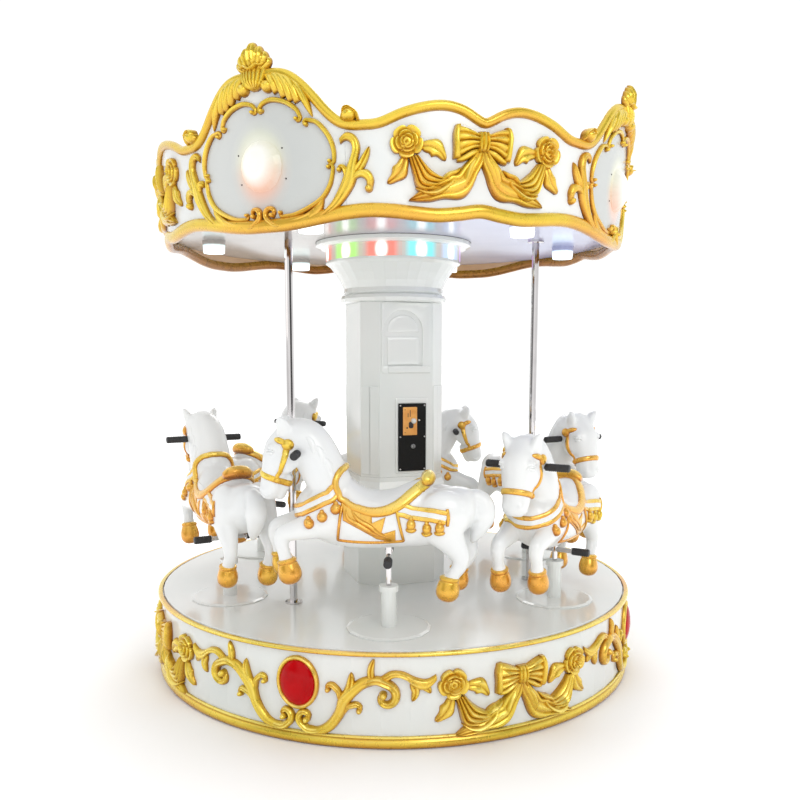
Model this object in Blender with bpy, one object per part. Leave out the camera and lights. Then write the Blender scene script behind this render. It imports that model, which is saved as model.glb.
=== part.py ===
"""A six-horse, coin-operated fairground carousel about 2.2 m across.

A fixed round base carries a turning deck. On the deck stand a square centre column with chamfered corners,
three bright poles and six horse posts. The column and the poles hold a scalloped canopy with four lamp
cartouches. Each horse sits on a steel rod that slides up and down in its post.
Metres, +Z up, origin at the bottom centre, and angles go round from -Y towards +X.
"""

import math

import bmesh
import bpy
import numpy as np
from mathutils import Matrix, Vector

# Clearances
SEAT_GAP = 0.0003
SLIDE_GAP = 0.0005

# Base and deck
RADIUS = 1.100
DRUM_RADIUS = 1.085
DRUM_TOP = 0.344
TOP_RIM_HEIGHT = 0.016
TOP_RIM_INNER = 1.080
BOTTOM_RIM_HEIGHT = 0.048
DECK_RADIUS = 1.076
DECK_BOTTOM = 0.349
DECK_TOP = 0.362
DECK_EDGE_ROUND = 0.005
BEARING_RADIUS = 0.20

# Centre column, its faces turned to the middle of each garland panel
COLUMN_TURN = 37.0
COLUMN_HALF_DEPTH = 0.195
COLUMN_HALF_FACE = 0.126
PLINTH_TOP = 0.860
PLINTH_PROUD = 0.016
SHAFT_TOP = 1.645
TORUS_RADIUS = 0.246
TORUS_MIDDLE = 1.665
NECK_RADIUS = 0.2295
NECK_HEIGHT = 1.711
BAND_RADIUS = 0.311
BAND_BOTTOM = 1.834
BAND_TOP = 1.893
PLATE_RADIUS = 0.358

# Coin panel on the column
COIN_PANEL_WIDTH = 0.129
COIN_PANEL_BOTTOM = 0.888
COIN_PANEL_TOP = 1.193
COIN_PANEL_THICK = 0.012
COIN_PANEL_OFFSET = 0.025

# Canopy: the valance is a cone that opens upwards
CANOPY_TURN = -8.0
VALANCE_RADIUS = 1.001
VALANCE_FOOT = 1.846
VALANCE_FLARE = 0.076
VALANCE_THICK = 0.014
CARTOUCHE_HALF = 18.0
FACET = 4.5
CEILING = 1.920
ROOF_EDGE = 2.020
ROOF_PEAK = 2.130
CEILING_LAMP_TURN = -3.0
CEILING_LAMP_RING = 0.814
CEILING_LAMP_RADIUS = 0.054
CEILING_LAMP_DROP = 0.055
CARTOUCHE_LAMP_HEIGHT = 2.070
CARTOUCHE_LAMP_RADIUS = 0.088
CARTOUCHE_LAMP_BULGE = 0.045

# Height of the valance's edges against degrees from the middle of each panel
CARTOUCHE_TOP = [(0, 2.451), (2.25, 2.438), (4.5, 2.382), (9, 2.358), (13.5, 2.284), (18, 2.208)]
CARTOUCHE_BOTTOM = [(0, 1.846), (4.5, 1.848), (9, 1.856), (13.5, 1.868), (18, 1.878)]
GARLAND_TOP = [(0, 2.221), (4.5, 2.240), (9, 2.259), (13.5, 2.243), (18, 2.217), (22.5, 2.197), (27, 2.208)]
GARLAND_BOTTOM = [(0, 1.887), (4.5, 1.876), (9, 1.867), (13.5, 1.873), (18, 1.883), (22.5, 1.886), (27, 1.878)]

# Garlands, drawn on flat paper about the bow's knot as (place across, height). One half of each form is
# given, and on the base the whole is larger by GARLAND_GROW
GARLAND_SHIFT = -0.008
GARLAND_HEIGHT = 2.133
BASE_GARLAND_HEIGHT = 0.240
GARLAND_GROW = 1.06
GARLAND_FACETS = 6
PAPER_HALF = 1.0
GARLAND_SINK = 0.0015
GARLAND_BURY = 0.010
GARLAND_BURY_STEP = 0.001
SWAG_TOP = [(-0.234, -0.032), (-0.167, -0.103), (-0.121, -0.107), (-0.072, -0.080), (-0.018, -0.022)]
SWAG_LOW = [(-0.260, -0.040), (-0.238, -0.190), (-0.152, -0.194), (-0.060, -0.180), (-0.002, -0.027)]
SWAG_RISE = 0.026
BOW_TOP = [(0.004, 0.022), (0.055, 0.041), (0.104, 0.046)]
BOW_LOW = [(0.004, -0.022), (0.055, -0.040), (0.102, -0.056)]
BOW_RISE = 0.030
KNOT_HALF_WIDTH, KNOT_HALF_HEIGHT, KNOT_RISE = 0.020, 0.030, 0.038
ROSE_PLACE, ROSE_RADIUS, ROSE_RISE = (-0.264, -0.008), 0.050, 0.033
# A rose's and a leaf's outline: share of the radius and of the rise, share of the length and of the width
ROSE_PROFILE = [(1.0, 0.3), (0.8, 0.8), (0.4, 1.0)]
LEAF_PROFILE = [(0.0, 0.5), (0.45, 1.0), (1.0, 0.12)]
LEAVES = [((-0.222, -0.020), (-0.132, -0.064)), ((-0.266, -0.050), (-0.328, -0.140))]
LEAF_HALF_WIDTH, LEAF_RISE = 0.022, 0.018

# Poles
POLE_TURN = -21.5
POLE_RING = 0.651
POLE_RADIUS = 0.016
POLE_FLANGE_RADIUS = 0.036
POLE_FLANGE = 0.008

# Horse posts
HORSE_TURN = 18.0
HORSE_RING = 0.817
HORSE_COUNT = 6
# How far each horse stands above or below the middle of its travel, as its crank left it
HORSE_LIFTS = [0.036, -0.033, -0.006, -0.030, 0.020, 0.013]
POST_RADIUS = 0.030
POST_CAP_RADIUS = 0.038
POST_CAP = 0.022
POST_TOP = 0.531
COVER_RADIUS = 0.165
COVER_THICK = 0.008
ROD_RADIUS = 0.011
ROD_BOTTOM = 0.420
ROD_TOP = 0.700
FOOT_BAR_HEIGHT = 0.612
FOOT_BAR_HALF = 0.150
FOOT_BAR_RADIUS = 0.010
PEG_RADIUS = 0.015
PEG_INNER = 0.075

# Horse, in its own frame: X ahead, Y to its left, Z up, the rod on the Z axis, at mid travel
HANDLE_AHEAD = 0.336
HANDLE_HEIGHT = 1.014
HANDLE_HALF = 0.173
HANDLE_INNER = 0.078
HANDLE_RADIUS = 0.008
GRIP_RADIUS = 0.0145
# Along the back: place ahead, middle height, half height, half width
BODY = [
    (-0.325, 0.800, 0.030, 0.030), (-0.300, 0.795, 0.070, 0.080), (-0.230, 0.775, 0.100, 0.118),
    (-0.120, 0.757, 0.104, 0.122), (0.000, 0.748, 0.103, 0.118), (0.120, 0.753, 0.110, 0.118),
    (0.220, 0.775, 0.116, 0.112), (0.300, 0.790, 0.095, 0.088), (0.348, 0.795, 0.040, 0.040),
]
# Saddle: place ahead, height of its top, half width
SADDLE = [
    (0.205, 0.915, 0.060), (0.185, 0.949, 0.085), (0.150, 0.898, 0.100), (0.100, 0.856, 0.108),
    (0.030, 0.842, 0.110), (-0.040, 0.850, 0.110), (-0.090, 0.878, 0.106), (-0.130, 0.906, 0.098),
    (-0.155, 0.900, 0.080),
]
SADDLE_FOOT = 0.730
# Neck and head: middle, direction of the cross-section's depth in degrees, half depth, half width
NECK = [
    ((0.205, 0.800), 30, 0.105, 0.085), ((0.235, 0.900), 15, 0.105, 0.070),
    ((0.275, 0.990), 0, 0.096, 0.058), ((0.335, 1.055), -35, 0.088, 0.053),
    ((0.392, 1.045), -80, 0.078, 0.055), ((0.405, 1.024), -112, 0.074, 0.055),
    ((0.418, 0.998), -140, 0.065, 0.052), ((0.425, 0.930), -165, 0.053, 0.045),
    ((0.436, 0.875), -172, 0.051, 0.038), ((0.436, 0.833), -175, 0.034, 0.026),
]
HIND_LEG = [
    ((-0.215, 0.760), 0.085, 0.052), ((-0.265, 0.680), 0.062, 0.046), ((-0.300, 0.610), 0.036, 0.032),
    ((-0.262, 0.550), 0.030, 0.029), ((-0.250, 0.530), 0.036, 0.034), ((-0.240, 0.455), 0.046, 0.043),
]
FORE_LEG = [
    ((0.240, 0.760), 0.066, 0.048), ((0.335, 0.730), 0.050, 0.040), ((0.424, 0.708), 0.038, 0.033),
    ((0.412, 0.628), 0.028, 0.028), ((0.405, 0.600), 0.034, 0.032), ((0.384, 0.518), 0.044, 0.040),
]
HIND_LEG_SIDE = 0.078
FORE_LEG_SIDE = 0.070
LEG_STAGGER = 0.045
TAIL = [
    ((-0.300, 0.830), 0.022, 0.020), ((-0.352, 0.832), 0.032, 0.030), ((-0.372, 0.775), 0.036, 0.036),
    ((-0.345, 0.715), 0.034, 0.032), ((-0.318, 0.660), 0.014, 0.014),
]
EAR = [((0.372, 1.095), 0.022, 0.017), ((0.388, 1.144), 0.005, 0.005)]
EAR_SIDE = 0.036

# Facets round each size of piece
ROUND_SIDES = 64
COLUMN_SIDES = 32
POST_SIDES = 16
SMALL_SIDES = 12
ROSE_SIDES = 10
HORSE_SIDES = 10
LIMB_SIDES = 7


def material(name, colour, roughness, metallic=0.0):
    made = bpy.data.materials.new(name)
    made.use_nodes = True
    shader = made.node_tree.nodes["Principled BSDF"]
    shader.inputs["Base Color"].default_value = (*colour, 1.0)
    shader.inputs["Roughness"].default_value = roughness
    shader.inputs["Metallic"].default_value = metallic
    made.diffuse_color = (*colour, 1.0)
    return made


def mesh_object(name, points, faces, finish):
    """One object from points and faces, its faces turned outwards and its round sides shaded smooth."""
    mesh = bpy.data.meshes.new(name)
    mesh.from_pydata([tuple(p) for p in points], [], faces)
    shape = bmesh.new()
    shape.from_mesh(mesh)
    bmesh.ops.recalc_face_normals(shape, faces=shape.faces)
    shape.to_mesh(mesh)
    shape.free()
    mesh.shade_smooth()
    mesh.set_sharp_from_angle(angle=math.radians(35))
    mesh.materials.append(finish)
    made = bpy.data.objects.new(name, mesh)
    bpy.context.scene.collection.objects.link(made)
    return made


def skin(rings, closed=False):
    """Points and faces of a skin over rings of equal size, capped at both ends unless it closes on itself."""
    count = len(rings[0])
    points = [point for ring in rings for point in ring]
    spans = len(rings) if closed else len(rings) - 1
    faces = []
    for i in range(spans):
        a, b = i * count, (i + 1) % len(rings) * count
        faces += [(a + j, a + (j + 1) % count, b + (j + 1) % count, b + j) for j in range(count)]
    if not closed:
        faces += [tuple(range(count)), tuple(range(len(points) - count, len(points)))]
    return points, faces


def circle(radius, height, count, turn=0.0):
    angles = [math.radians(turn + 360 * i / count) for i in range(count)]
    return [(radius * math.sin(a), -radius * math.cos(a), height) for a in angles]


def turned(name, profile, finish, count, turn=0.0, closed=False):
    """A turned solid about Z from a profile of (radius, height) points."""
    rings = [circle(radius, height, count, turn) for radius, height in profile]
    return mesh_object(name, *skin(rings, closed), finish)


def arc(centre, radius, start, end, steps):
    """Points on a round stretch of a profile, the angles in degrees from +radius towards +height."""
    angles = np.radians(np.linspace(start, end, steps + 1))
    return [(centre[0] + radius * math.cos(a), centre[1] + radius * math.sin(a)) for a in angles]


def at(radius, degrees, height=0.0):
    angle = math.radians(degrees)
    return Vector((radius * math.sin(angle), -radius * math.cos(angle), height))


def column_ring(height, grow=0.0):
    """The column's outline: a square with chamfered corners, turned to COLUMN_TURN."""
    deep, half = COLUMN_HALF_DEPTH + grow, COLUMN_HALF_FACE + grow * math.tan(math.radians(22.5))
    turn = Matrix.Rotation(math.radians(COLUMN_TURN), 3, "Z")
    corners = []
    for quarter in range(4):
        side = Matrix.Rotation(quarter * math.pi / 2, 3, "Z")
        corners += [turn @ side @ Vector((x, -deep, height)) for x in (-half, half)]
    return corners


def make_base(white, gold):
    """The machine drum, the rim round its foot and the rim on its top edge, which has the deck inside it."""
    turned("base_drum", [(DRUM_RADIUS, 0), (DRUM_RADIUS, DRUM_TOP)], white, ROUND_SIDES)
    rim_foot = DRUM_TOP + SEAT_GAP
    for name, inner, low, high in (
        ("base_bottom_rim", DRUM_RADIUS + SEAT_GAP, 0.0, BOTTOM_RIM_HEIGHT),
        ("base_top_rim", TOP_RIM_INNER, rim_foot, rim_foot + TOP_RIM_HEIGHT),
    ):
        edge, shoulder = 0.25 * (high - low), inner + 0.6 * (RADIUS - inner)
        profile = [(inner, low), (shoulder, low), (RADIUS, low + edge)]
        profile += [(RADIUS, high - edge), (shoulder, high), (inner, high)]
        turned(name, profile, gold, ROUND_SIDES, closed=True)


def make_deck(white):
    edge = arc((DECK_RADIUS - DECK_EDGE_ROUND, DECK_TOP - DECK_EDGE_ROUND), DECK_EDGE_ROUND, 0, 90, 2)
    foot = DRUM_TOP + SEAT_GAP
    profile = [(BEARING_RADIUS, foot), (BEARING_RADIUS, DECK_BOTTOM), (DECK_RADIUS, DECK_BOTTOM)] + edge
    turned("deck", profile, white, ROUND_SIDES)


def make_column(white, light):
    foot = DECK_TOP + SEAT_GAP
    levels = [(foot, PLINTH_PROUD), (PLINTH_TOP - 0.05, PLINTH_PROUD), (PLINTH_TOP - 0.02, 0.004)]
    levels += [(PLINTH_TOP, 0.004)]
    mesh_object("column_plinth", *skin([column_ring(z, grow) for z, grow in levels]), white)
    levels = [PLINTH_TOP + SEAT_GAP, SHAFT_TOP]
    mesh_object("column_shaft", *skin([column_ring(z) for z in levels]), white)
    bead = TORUS_MIDDLE - SHAFT_TOP - SEAT_GAP
    profile = arc((TORUS_RADIUS - bead, TORUS_MIDDLE), bead, -90, 90, 4)
    profile += [(NECK_RADIUS + 0.004, NECK_HEIGHT - 0.018), (NECK_RADIUS, NECK_HEIGHT)]
    profile += [(0.242, 1.740), (0.264, 1.775), (0.292, 1.812), (BAND_RADIUS, BAND_BOTTOM - 0.010)]
    profile += [(BAND_RADIUS, BAND_BOTTOM)]
    turned("column_capital", profile, white, COLUMN_SIDES)
    turned("light_band", [(BAND_RADIUS, BAND_BOTTOM + SEAT_GAP), (BAND_RADIUS, BAND_TOP)], light, COLUMN_SIDES)
    low = BAND_TOP + SEAT_GAP
    profile = [(PLATE_RADIUS - 0.022, low), (PLATE_RADIUS, low + 0.010), (PLATE_RADIUS, CEILING - SEAT_GAP)]
    turned("canopy_plate", profile, white, COLUMN_SIDES)


def make_coin_panel(black):
    deep = COLUMN_HALF_DEPTH + SEAT_GAP
    half = COIN_PANEL_WIDTH / 2
    turn = Matrix.Rotation(math.radians(COLUMN_TURN), 3, "Z")
    rings = []
    for depth in (deep, deep + COIN_PANEL_THICK):
        corners = [(-half, COIN_PANEL_BOTTOM), (half, COIN_PANEL_BOTTOM), (half, COIN_PANEL_TOP)]
        corners += [(-half, COIN_PANEL_TOP)]
        rings.append([turn @ Vector((COIN_PANEL_OFFSET + x, -depth, z)) for x, z in corners])
    mesh_object("coin_panel", *skin(rings), black)


def valance_radius(height):
    return VALANCE_RADIUS + VALANCE_FLARE * (height - VALANCE_FOOT)


def make_panel(name, middle, half, bottom, top, finish):
    """A curved shell between two wavy edges, from one side joint to the other."""
    margin = math.degrees(SEAT_GAP / 2 / VALANCE_RADIUS)
    steps = round(2 * half / FACET)
    rings = []
    for i in range(steps + 1):
        angle = -half + i * FACET
        low = np.interp(abs(angle), *zip(*bottom))
        high = np.interp(abs(angle), *zip(*top))
        angle = max(-half + margin, min(half - margin, angle))
        levels = [low, low + 0.5 * (high - low), high]
        outer = [at(valance_radius(z), middle + angle, z) for z in levels]
        inner = [at(valance_radius(z) - VALANCE_THICK, middle + angle, z) for z in reversed(levels)]
        rings.append(outer + inner)
    mesh_object(name, *skin(rings), finish)


def make_canopy(white, lamp_glass):
    inner = VALANCE_THICK + SEAT_GAP
    profile = [(valance_radius(CEILING) - inner, CEILING), (valance_radius(ROOF_EDGE) - inner, ROOF_EDGE)]
    profile += [(0.10, ROOF_PEAK)]
    ceiling = turned("ceiling", profile, white, round(360 / FACET), CANOPY_TURN - CARTOUCHE_HALF)
    lamps = []
    for i in range(6):
        where = at(CEILING_LAMP_RING, CEILING_LAMP_TURN + 60 * i)
        rings = [
            [(x + where.x, y + where.y, z) for x, y, z in circle(radius, height, SMALL_SIDES)]
            for radius, height in (
                (CEILING_LAMP_RADIUS * 0.85, CEILING - CEILING_LAMP_DROP),
                (CEILING_LAMP_RADIUS, CEILING + 0.02),
            )
        ]
        lamps.append(mesh_object(f"ceiling_lamp_tool_{i + 1}", *skin(rings), white))
    join_shapes(ceiling, lamps)
    garland_half = 45 - CARTOUCHE_HALF
    for i in range(4):
        middle = CANOPY_TURN + 90 * i
        make_panel(f"cartouche_panel_{i + 1}", middle, CARTOUCHE_HALF, CARTOUCHE_BOTTOM, CARTOUCHE_TOP, white)
        make_panel(f"garland_panel_{i + 1}", middle + 45, garland_half, GARLAND_BOTTOM, GARLAND_TOP, white)
        make_cartouche_lamp(f"cartouche_lamp_{i + 1}", middle, lamp_glass)


def make_cartouche_lamp(name, middle, finish):
    """A low glass dome whose flat back rests on the panel, which leans out by the flare."""
    ball = (CARTOUCHE_LAMP_RADIUS**2 + CARTOUCHE_LAMP_BULGE**2) / (2 * CARTOUCHE_LAMP_BULGE)
    rise = math.asin(CARTOUCHE_LAMP_RADIUS / ball)
    rings = []
    for i in range(4):
        angle = rise * (1 - i / 4)
        away = ball * math.cos(angle) - (ball - CARTOUCHE_LAMP_BULGE)
        rings.append([(x, -away, -y) for x, y, _ in circle(ball * math.sin(angle), 0, POST_SIDES)])
    made = mesh_object(name, *skin(rings), finish)
    made.location = at(valance_radius(CARTOUCHE_LAMP_HEIGHT) + SEAT_GAP, middle, CARTOUCHE_LAMP_HEIGHT)
    lean = Matrix.Rotation(math.atan(VALANCE_FLARE), 4, "X")
    made.rotation_euler = (Matrix.Rotation(math.radians(middle), 4, "Z") @ lean).to_euler()


def relief_shape(name, first, second, rise, finish, rounds=4):
    """A low band between two edge lines on the paper, half round across, its back buried below the paper."""
    rings = []
    for (xa, ya), (xb, yb) in zip(first, second):
        ring = [(xb, yb, -GARLAND_BURY), (xa, ya, -GARLAND_BURY)]
        for angle in np.linspace(math.pi, 0, rounds + 1):
            share = (1 + math.cos(angle)) / 2
            height = (rise + GARLAND_SINK) * math.sin(angle) - GARLAND_SINK
            ring.append((xa + (xb - xa) * share, ya + (yb - ya) * share, height))
        rings.append(ring)
    return mesh_object(name, *skin(rings), finish)


def garland_shapes(finish):
    """Bow, two swags, two roses and four leaves as overlapping bodies on the paper."""
    shapes = []
    for side in (1, -1):
        def turned_over(points):
            return [(side * x, y) for x, y in points]
        shapes.append(relief_shape("swag", turned_over(SWAG_TOP), turned_over(SWAG_LOW), SWAG_RISE, finish))
        shapes.append(relief_shape("loop", turned_over(BOW_TOP), turned_over(BOW_LOW), BOW_RISE, finish))
        x, y = side * ROSE_PLACE[0], ROSE_PLACE[1]
        levels = [(1.0, -GARLAND_BURY)] + [(share, ROSE_RISE * rise) for share, rise in ROSE_PROFILE]
        rings = [
            [(x + px, y + py, height) for px, py, _ in circle(ROSE_RADIUS * share, 0, ROSE_SIDES)]
            for share, height in levels
        ]
        shapes.append(mesh_object("rose", *skin(rings), finish))
        for base, tip in LEAVES:
            base, tip = Vector((side * base[0], base[1])), Vector((side * tip[0], tip[1]))
            across = (tip - base).orthogonal().normalized() * LEAF_HALF_WIDTH
            edges = [
                [base.lerp(tip, share) + turn * across * wide for share, wide in LEAF_PROFILE]
                for turn in (1, -1)
            ]
            shapes.append(relief_shape("leaf", *edges, LEAF_RISE, finish, rounds=2))
    for i, shape in enumerate(shapes, 1):
        # No two backs lie in one plane, so the bodies cross each other cleanly
        for vertex in shape.data.vertices:
            if vertex.co.z < 0:
                vertex.co.z -= GARLAND_BURY_STEP * i
    return shapes


def make_garland_mesh(scale, shift, lowest, facet, finish):
    """The bodies united, cut flat at the paper and above a lowest height, then cut along the facets' edges."""
    half, high = KNOT_HALF_WIDTH, KNOT_HALF_HEIGHT
    knot = relief_shape(
        "garland_shape", [(-half, high), (-half, -high)], [(half, high), (half, -high)], KNOT_RISE, finish)
    join_shapes(knot, garland_shapes(finish))
    for vertex in knot.data.vertices:
        vertex.co.x, vertex.co.y = vertex.co.x * scale + shift, vertex.co.y * scale
    corners = ((-PAPER_HALF, lowest), (PAPER_HALF, lowest), (PAPER_HALF, PAPER_HALF), (-PAPER_HALF, PAPER_HALF))
    box = [[(x, y, n) for x, y in corners] for n in (0.0, PAPER_HALF)]
    join_shapes(knot, [mesh_object("paper", *skin(box), finish)], "INTERSECT")
    mesh = knot.data
    bpy.data.objects.remove(knot)
    shape = bmesh.new()
    shape.from_mesh(mesh)
    bmesh.ops.triangulate(shape, faces=shape.faces)
    for step in range(-GARLAND_FACETS, GARLAND_FACETS + 1):
        bmesh.ops.bisect_plane(
            shape, geom=shape.verts[:] + shape.edges[:] + shape.faces[:], plane_co=(step * facet, 0, 0),
            plane_no=(1, 0, 0), dist=1e-5)
    bmesh.ops.remove_doubles(shape, verts=shape.verts, dist=2e-5)
    bmesh.ops.triangulate(shape, faces=shape.faces)
    shape.to_mesh(mesh)
    shape.free()
    return mesh


def wrap_garland(name, flat, middle, foot_radius, flare, height, paper_radius, facet_degrees):
    """The flat garland laid on the facets of the drum or of a valance panel, on the seat gap."""
    mesh = flat.copy()
    half = math.radians(facet_degrees) / 2
    for vertex in mesh.vertices:
        angle, z = vertex.co.x / paper_radius, height + vertex.co.y
        in_facet = (angle / (2 * half) - math.floor(angle / (2 * half)) - 0.5) * 2 * half
        radius = (foot_radius + flare * (z - VALANCE_FOOT)) * math.cos(half) / math.cos(in_facet)
        vertex.co = at(radius + SEAT_GAP + vertex.co.z, middle + math.degrees(angle), z)
    made = bpy.data.objects.new(name, mesh)
    bpy.context.scene.collection.objects.link(made)


def make_garlands(gold):
    """A garland on every garland panel and, a little larger, between the cabochons of the base."""
    paper = valance_radius(GARLAND_HEIGHT)
    facet = 360 / ROUND_SIDES
    canopy = make_garland_mesh(1.0, GARLAND_SHIFT, -PAPER_HALF, math.radians(FACET) * paper, gold)
    lowest = BOTTOM_RIM_HEIGHT + SEAT_GAP - BASE_GARLAND_HEIGHT
    base = make_garland_mesh(GARLAND_GROW, GARLAND_SHIFT, lowest, math.radians(facet) * DRUM_RADIUS, gold)
    for i in range(4):
        wrap_garland(f"canopy_garland_{i + 1}", canopy, CANOPY_TURN + 45 + 90 * i, VALANCE_RADIUS,
                     VALANCE_FLARE, GARLAND_HEIGHT, paper, FACET)
        wrap_garland(f"base_garland_{i + 1}", base, 45 + 90 * i, DRUM_RADIUS,
                     0.0, BASE_GARLAND_HEIGHT, DRUM_RADIUS, facet)


def make_poles(chrome):
    low, high = DECK_TOP + SEAT_GAP, CEILING - SEAT_GAP
    profile = [(POLE_FLANGE_RADIUS, low), (POLE_FLANGE_RADIUS, low + POLE_FLANGE)]
    profile += [(POLE_RADIUS, low + POLE_FLANGE), (POLE_RADIUS, high - POLE_FLANGE)]
    profile += [(POLE_FLANGE_RADIUS, high - POLE_FLANGE), (POLE_FLANGE_RADIUS, high)]
    for i in range(3):
        made = turned(f"canopy_pole_{i + 1}", profile, chrome, SMALL_SIDES)
        made.location = at(POLE_RING, POLE_TURN + 120 * i)


def make_post(name, place, finish):
    """Cover plate, tube and cap in one turned piece with the rod's bore through it."""
    bore, low = ROD_RADIUS + SLIDE_GAP, DECK_TOP + SEAT_GAP
    profile = [(bore, low), (COVER_RADIUS, low), (COVER_RADIUS, low + COVER_THICK / 2)]
    profile += [(COVER_RADIUS - 0.012, low + COVER_THICK), (POST_RADIUS, low + COVER_THICK)]
    profile += [(POST_RADIUS, POST_TOP - POST_CAP), (POST_CAP_RADIUS, POST_TOP - POST_CAP)]
    profile += [(POST_CAP_RADIUS, POST_TOP), (bore, POST_TOP)]
    made = turned(name, profile, finish, POST_SIDES, closed=True)
    made.location = place


def limb(path, side, finish, name, shift=0.0, lean=0.0):
    """A leg, tail or ear: rings across a path in the horse's middle plane, moved out to one side."""
    rings = []
    for i, ((ahead, height), deep, wide) in enumerate(path):
        before, after = path[max(i - 1, 0)][0], path[min(i + 1, len(path) - 1)][0]
        along = Vector((after[0] - before[0], after[1] - before[1])).normalized()
        across = Vector((-along.y, along.x))
        ring = []
        for j in range(LIMB_SIDES):
            angle = 2 * math.pi * (j + 0.5) / LIMB_SIDES
            spread = deep * math.cos(angle)
            y = side + lean * i + wide * math.sin(angle)
            ring.append((ahead + shift + across.x * spread, y, height + across.y * spread))
        rings.append(ring)
    return mesh_object(name, *skin(rings), finish)


def join_shapes(body, others, operation="UNION"):
    """Unites the others with the body, or cuts them from it, and keeps the result as the body's own mesh."""
    for other in others:
        step = body.modifiers.new(other.name, "BOOLEAN")
        step.operation = operation
        step.object = other
    graph = bpy.context.evaluated_depsgraph_get()
    result = bpy.data.meshes.new_from_object(body.evaluated_get(graph))
    body.modifiers.clear()
    body.data = result
    result.shade_smooth()
    result.set_sharp_from_angle(angle=math.radians(35))
    for other in others:
        bpy.data.objects.remove(other)


def bar(radius, start, end, axis, centre, name, finish):
    """A round bar along Y or Z through a centre, as a solid or a cutter."""
    rings = []
    for place in (start, end):
        ring = circle(radius, place, SMALL_SIDES)
        if axis == "Y":
            ring = [(x, z, y) for x, y, z in ring]
        rings.append([tuple(Vector(p) + Vector(centre)) for p in ring])
    return mesh_object(name, *skin(rings), finish)


def turned_across(name, profile, height, finish):
    """A turned solid about a line along Y, from a profile of (radius, place along Y) points."""
    rings = [
        [(x, place, y + height) for x, y, _ in circle(radius, 0, SMALL_SIDES)] for radius, place in profile
    ]
    return mesh_object(name, *skin(rings), finish)


def make_horse_mesh(white):
    """The horse once, in its own frame: body, saddle, neck and head, legs, tail and ears in one closed skin."""
    turns = [2 * math.pi * (i + 0.5) / HORSE_SIDES for i in range(HORSE_SIDES)]
    body_rings = [
        [(ahead, wide * math.sin(a), middle + high * math.cos(a)) for a in turns]
        for ahead, middle, high, wide in BODY
    ]
    body = mesh_object("horse_shape", *skin(body_rings), white)
    saddle_rings = []
    for ahead, top, wide in SADDLE:
        rise = top - SADDLE_FOOT
        arch = np.linspace(0, math.pi, 8)
        saddle_rings.append([(ahead, wide * math.cos(a), SADDLE_FOOT + rise * math.sin(a)) for a in arch])
    others = [mesh_object("saddle_shape", *skin(saddle_rings), white)]
    neck_rings = []
    for (ahead, height), facing, deep, wide in NECK:
        lean = math.radians(facing)
        ring = []
        for a in turns:
            spread = deep * math.cos(a)
            ring.append((ahead + spread * math.cos(lean), wide * math.sin(a), height + spread * math.sin(lean)))
        neck_rings.append(ring)
    others.append(mesh_object("neck_shape", *skin(neck_rings), white))
    for side in (1, -1):
        others.append(limb(HIND_LEG, side * HIND_LEG_SIDE, white, f"hind_leg_{side}", side * LEG_STAGGER / 2))
        others.append(limb(FORE_LEG, side * FORE_LEG_SIDE, white, f"fore_leg_{side}", -side * LEG_STAGGER / 2))
        others.append(limb(EAR, side * EAR_SIDE, white, f"ear_{side}", lean=side * 0.012))
    others.append(limb(TAIL, 0.0, white, "tail_shape"))
    join_shapes(body, others)
    handle_place = (HANDLE_AHEAD, 0, HANDLE_HEIGHT)
    cutters = [
        bar(ROD_RADIUS + SEAT_GAP, ROD_BOTTOM, ROD_TOP + SEAT_GAP, "Z", (0, 0, 0), "rod_bore", white),
        bar(HANDLE_RADIUS + SEAT_GAP, -HANDLE_HALF, HANDLE_HALF, "Y", handle_place, "handle_bore", white),
    ]
    join_shapes(body, cutters, "DIFFERENCE")
    mesh = body.data
    bpy.data.objects.remove(body)
    return mesh


def make_frame_mesh(steel):
    """The rod that carries a horse, with the foot bar welded across it and a peg on each end."""
    rod = bar(ROD_RADIUS, ROD_BOTTOM, ROD_TOP, "Z", (0, 0, 0), "rod", steel)
    profile = [(PEG_RADIUS, -FOOT_BAR_HALF), (PEG_RADIUS, -PEG_INNER), (FOOT_BAR_RADIUS, -PEG_INNER)]
    profile += [(radius, -place) for radius, place in reversed(profile)]
    join_shapes(rod, [turned_across("foot_bar", profile, FOOT_BAR_HEIGHT, steel)])
    mesh = rod.data
    bpy.data.objects.remove(rod)
    return mesh


def make_handle_mesh(black):
    profile = [(GRIP_RADIUS * 0.8, -HANDLE_HALF), (GRIP_RADIUS, -HANDLE_HALF + 0.006)]
    profile += [(GRIP_RADIUS, -HANDLE_INNER), (HANDLE_RADIUS, -HANDLE_INNER)]
    profile += [(radius, -place) for radius, place in reversed(profile)]
    made = turned_across("handle_shape", profile, 0.0, black)
    mesh = made.data
    bpy.data.objects.remove(made)
    return mesh


def make_horses(white, steel, black):
    horse, frame, handle = make_horse_mesh(white), make_frame_mesh(steel), make_handle_mesh(black)
    for i, lift in enumerate(HORSE_LIFTS):
        angle = HORSE_TURN + 360 / HORSE_COUNT * i
        place = at(HORSE_RING, angle)
        make_post(f"horse_post_{i + 1}", place, white)
        carrier = bpy.data.objects.new(f"horse_{i + 1}_axis", None)
        bpy.context.scene.collection.objects.link(carrier)
        carrier.location = place + Vector((0, 0, lift))
        carrier.rotation_euler.z = math.radians(angle + 180)
        for name, mesh, where in (
            (f"horse_{i + 1}", horse, (0, 0, 0)),
            (f"horse_rod_{i + 1}", frame, (0, 0, 0)),
            (f"horse_handle_{i + 1}", handle, (HANDLE_AHEAD, 0, HANDLE_HEIGHT)),
        ):
            made = bpy.data.objects.new(name, mesh)
            bpy.context.scene.collection.objects.link(made)
            made.parent = carrier
            made.location = where


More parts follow.
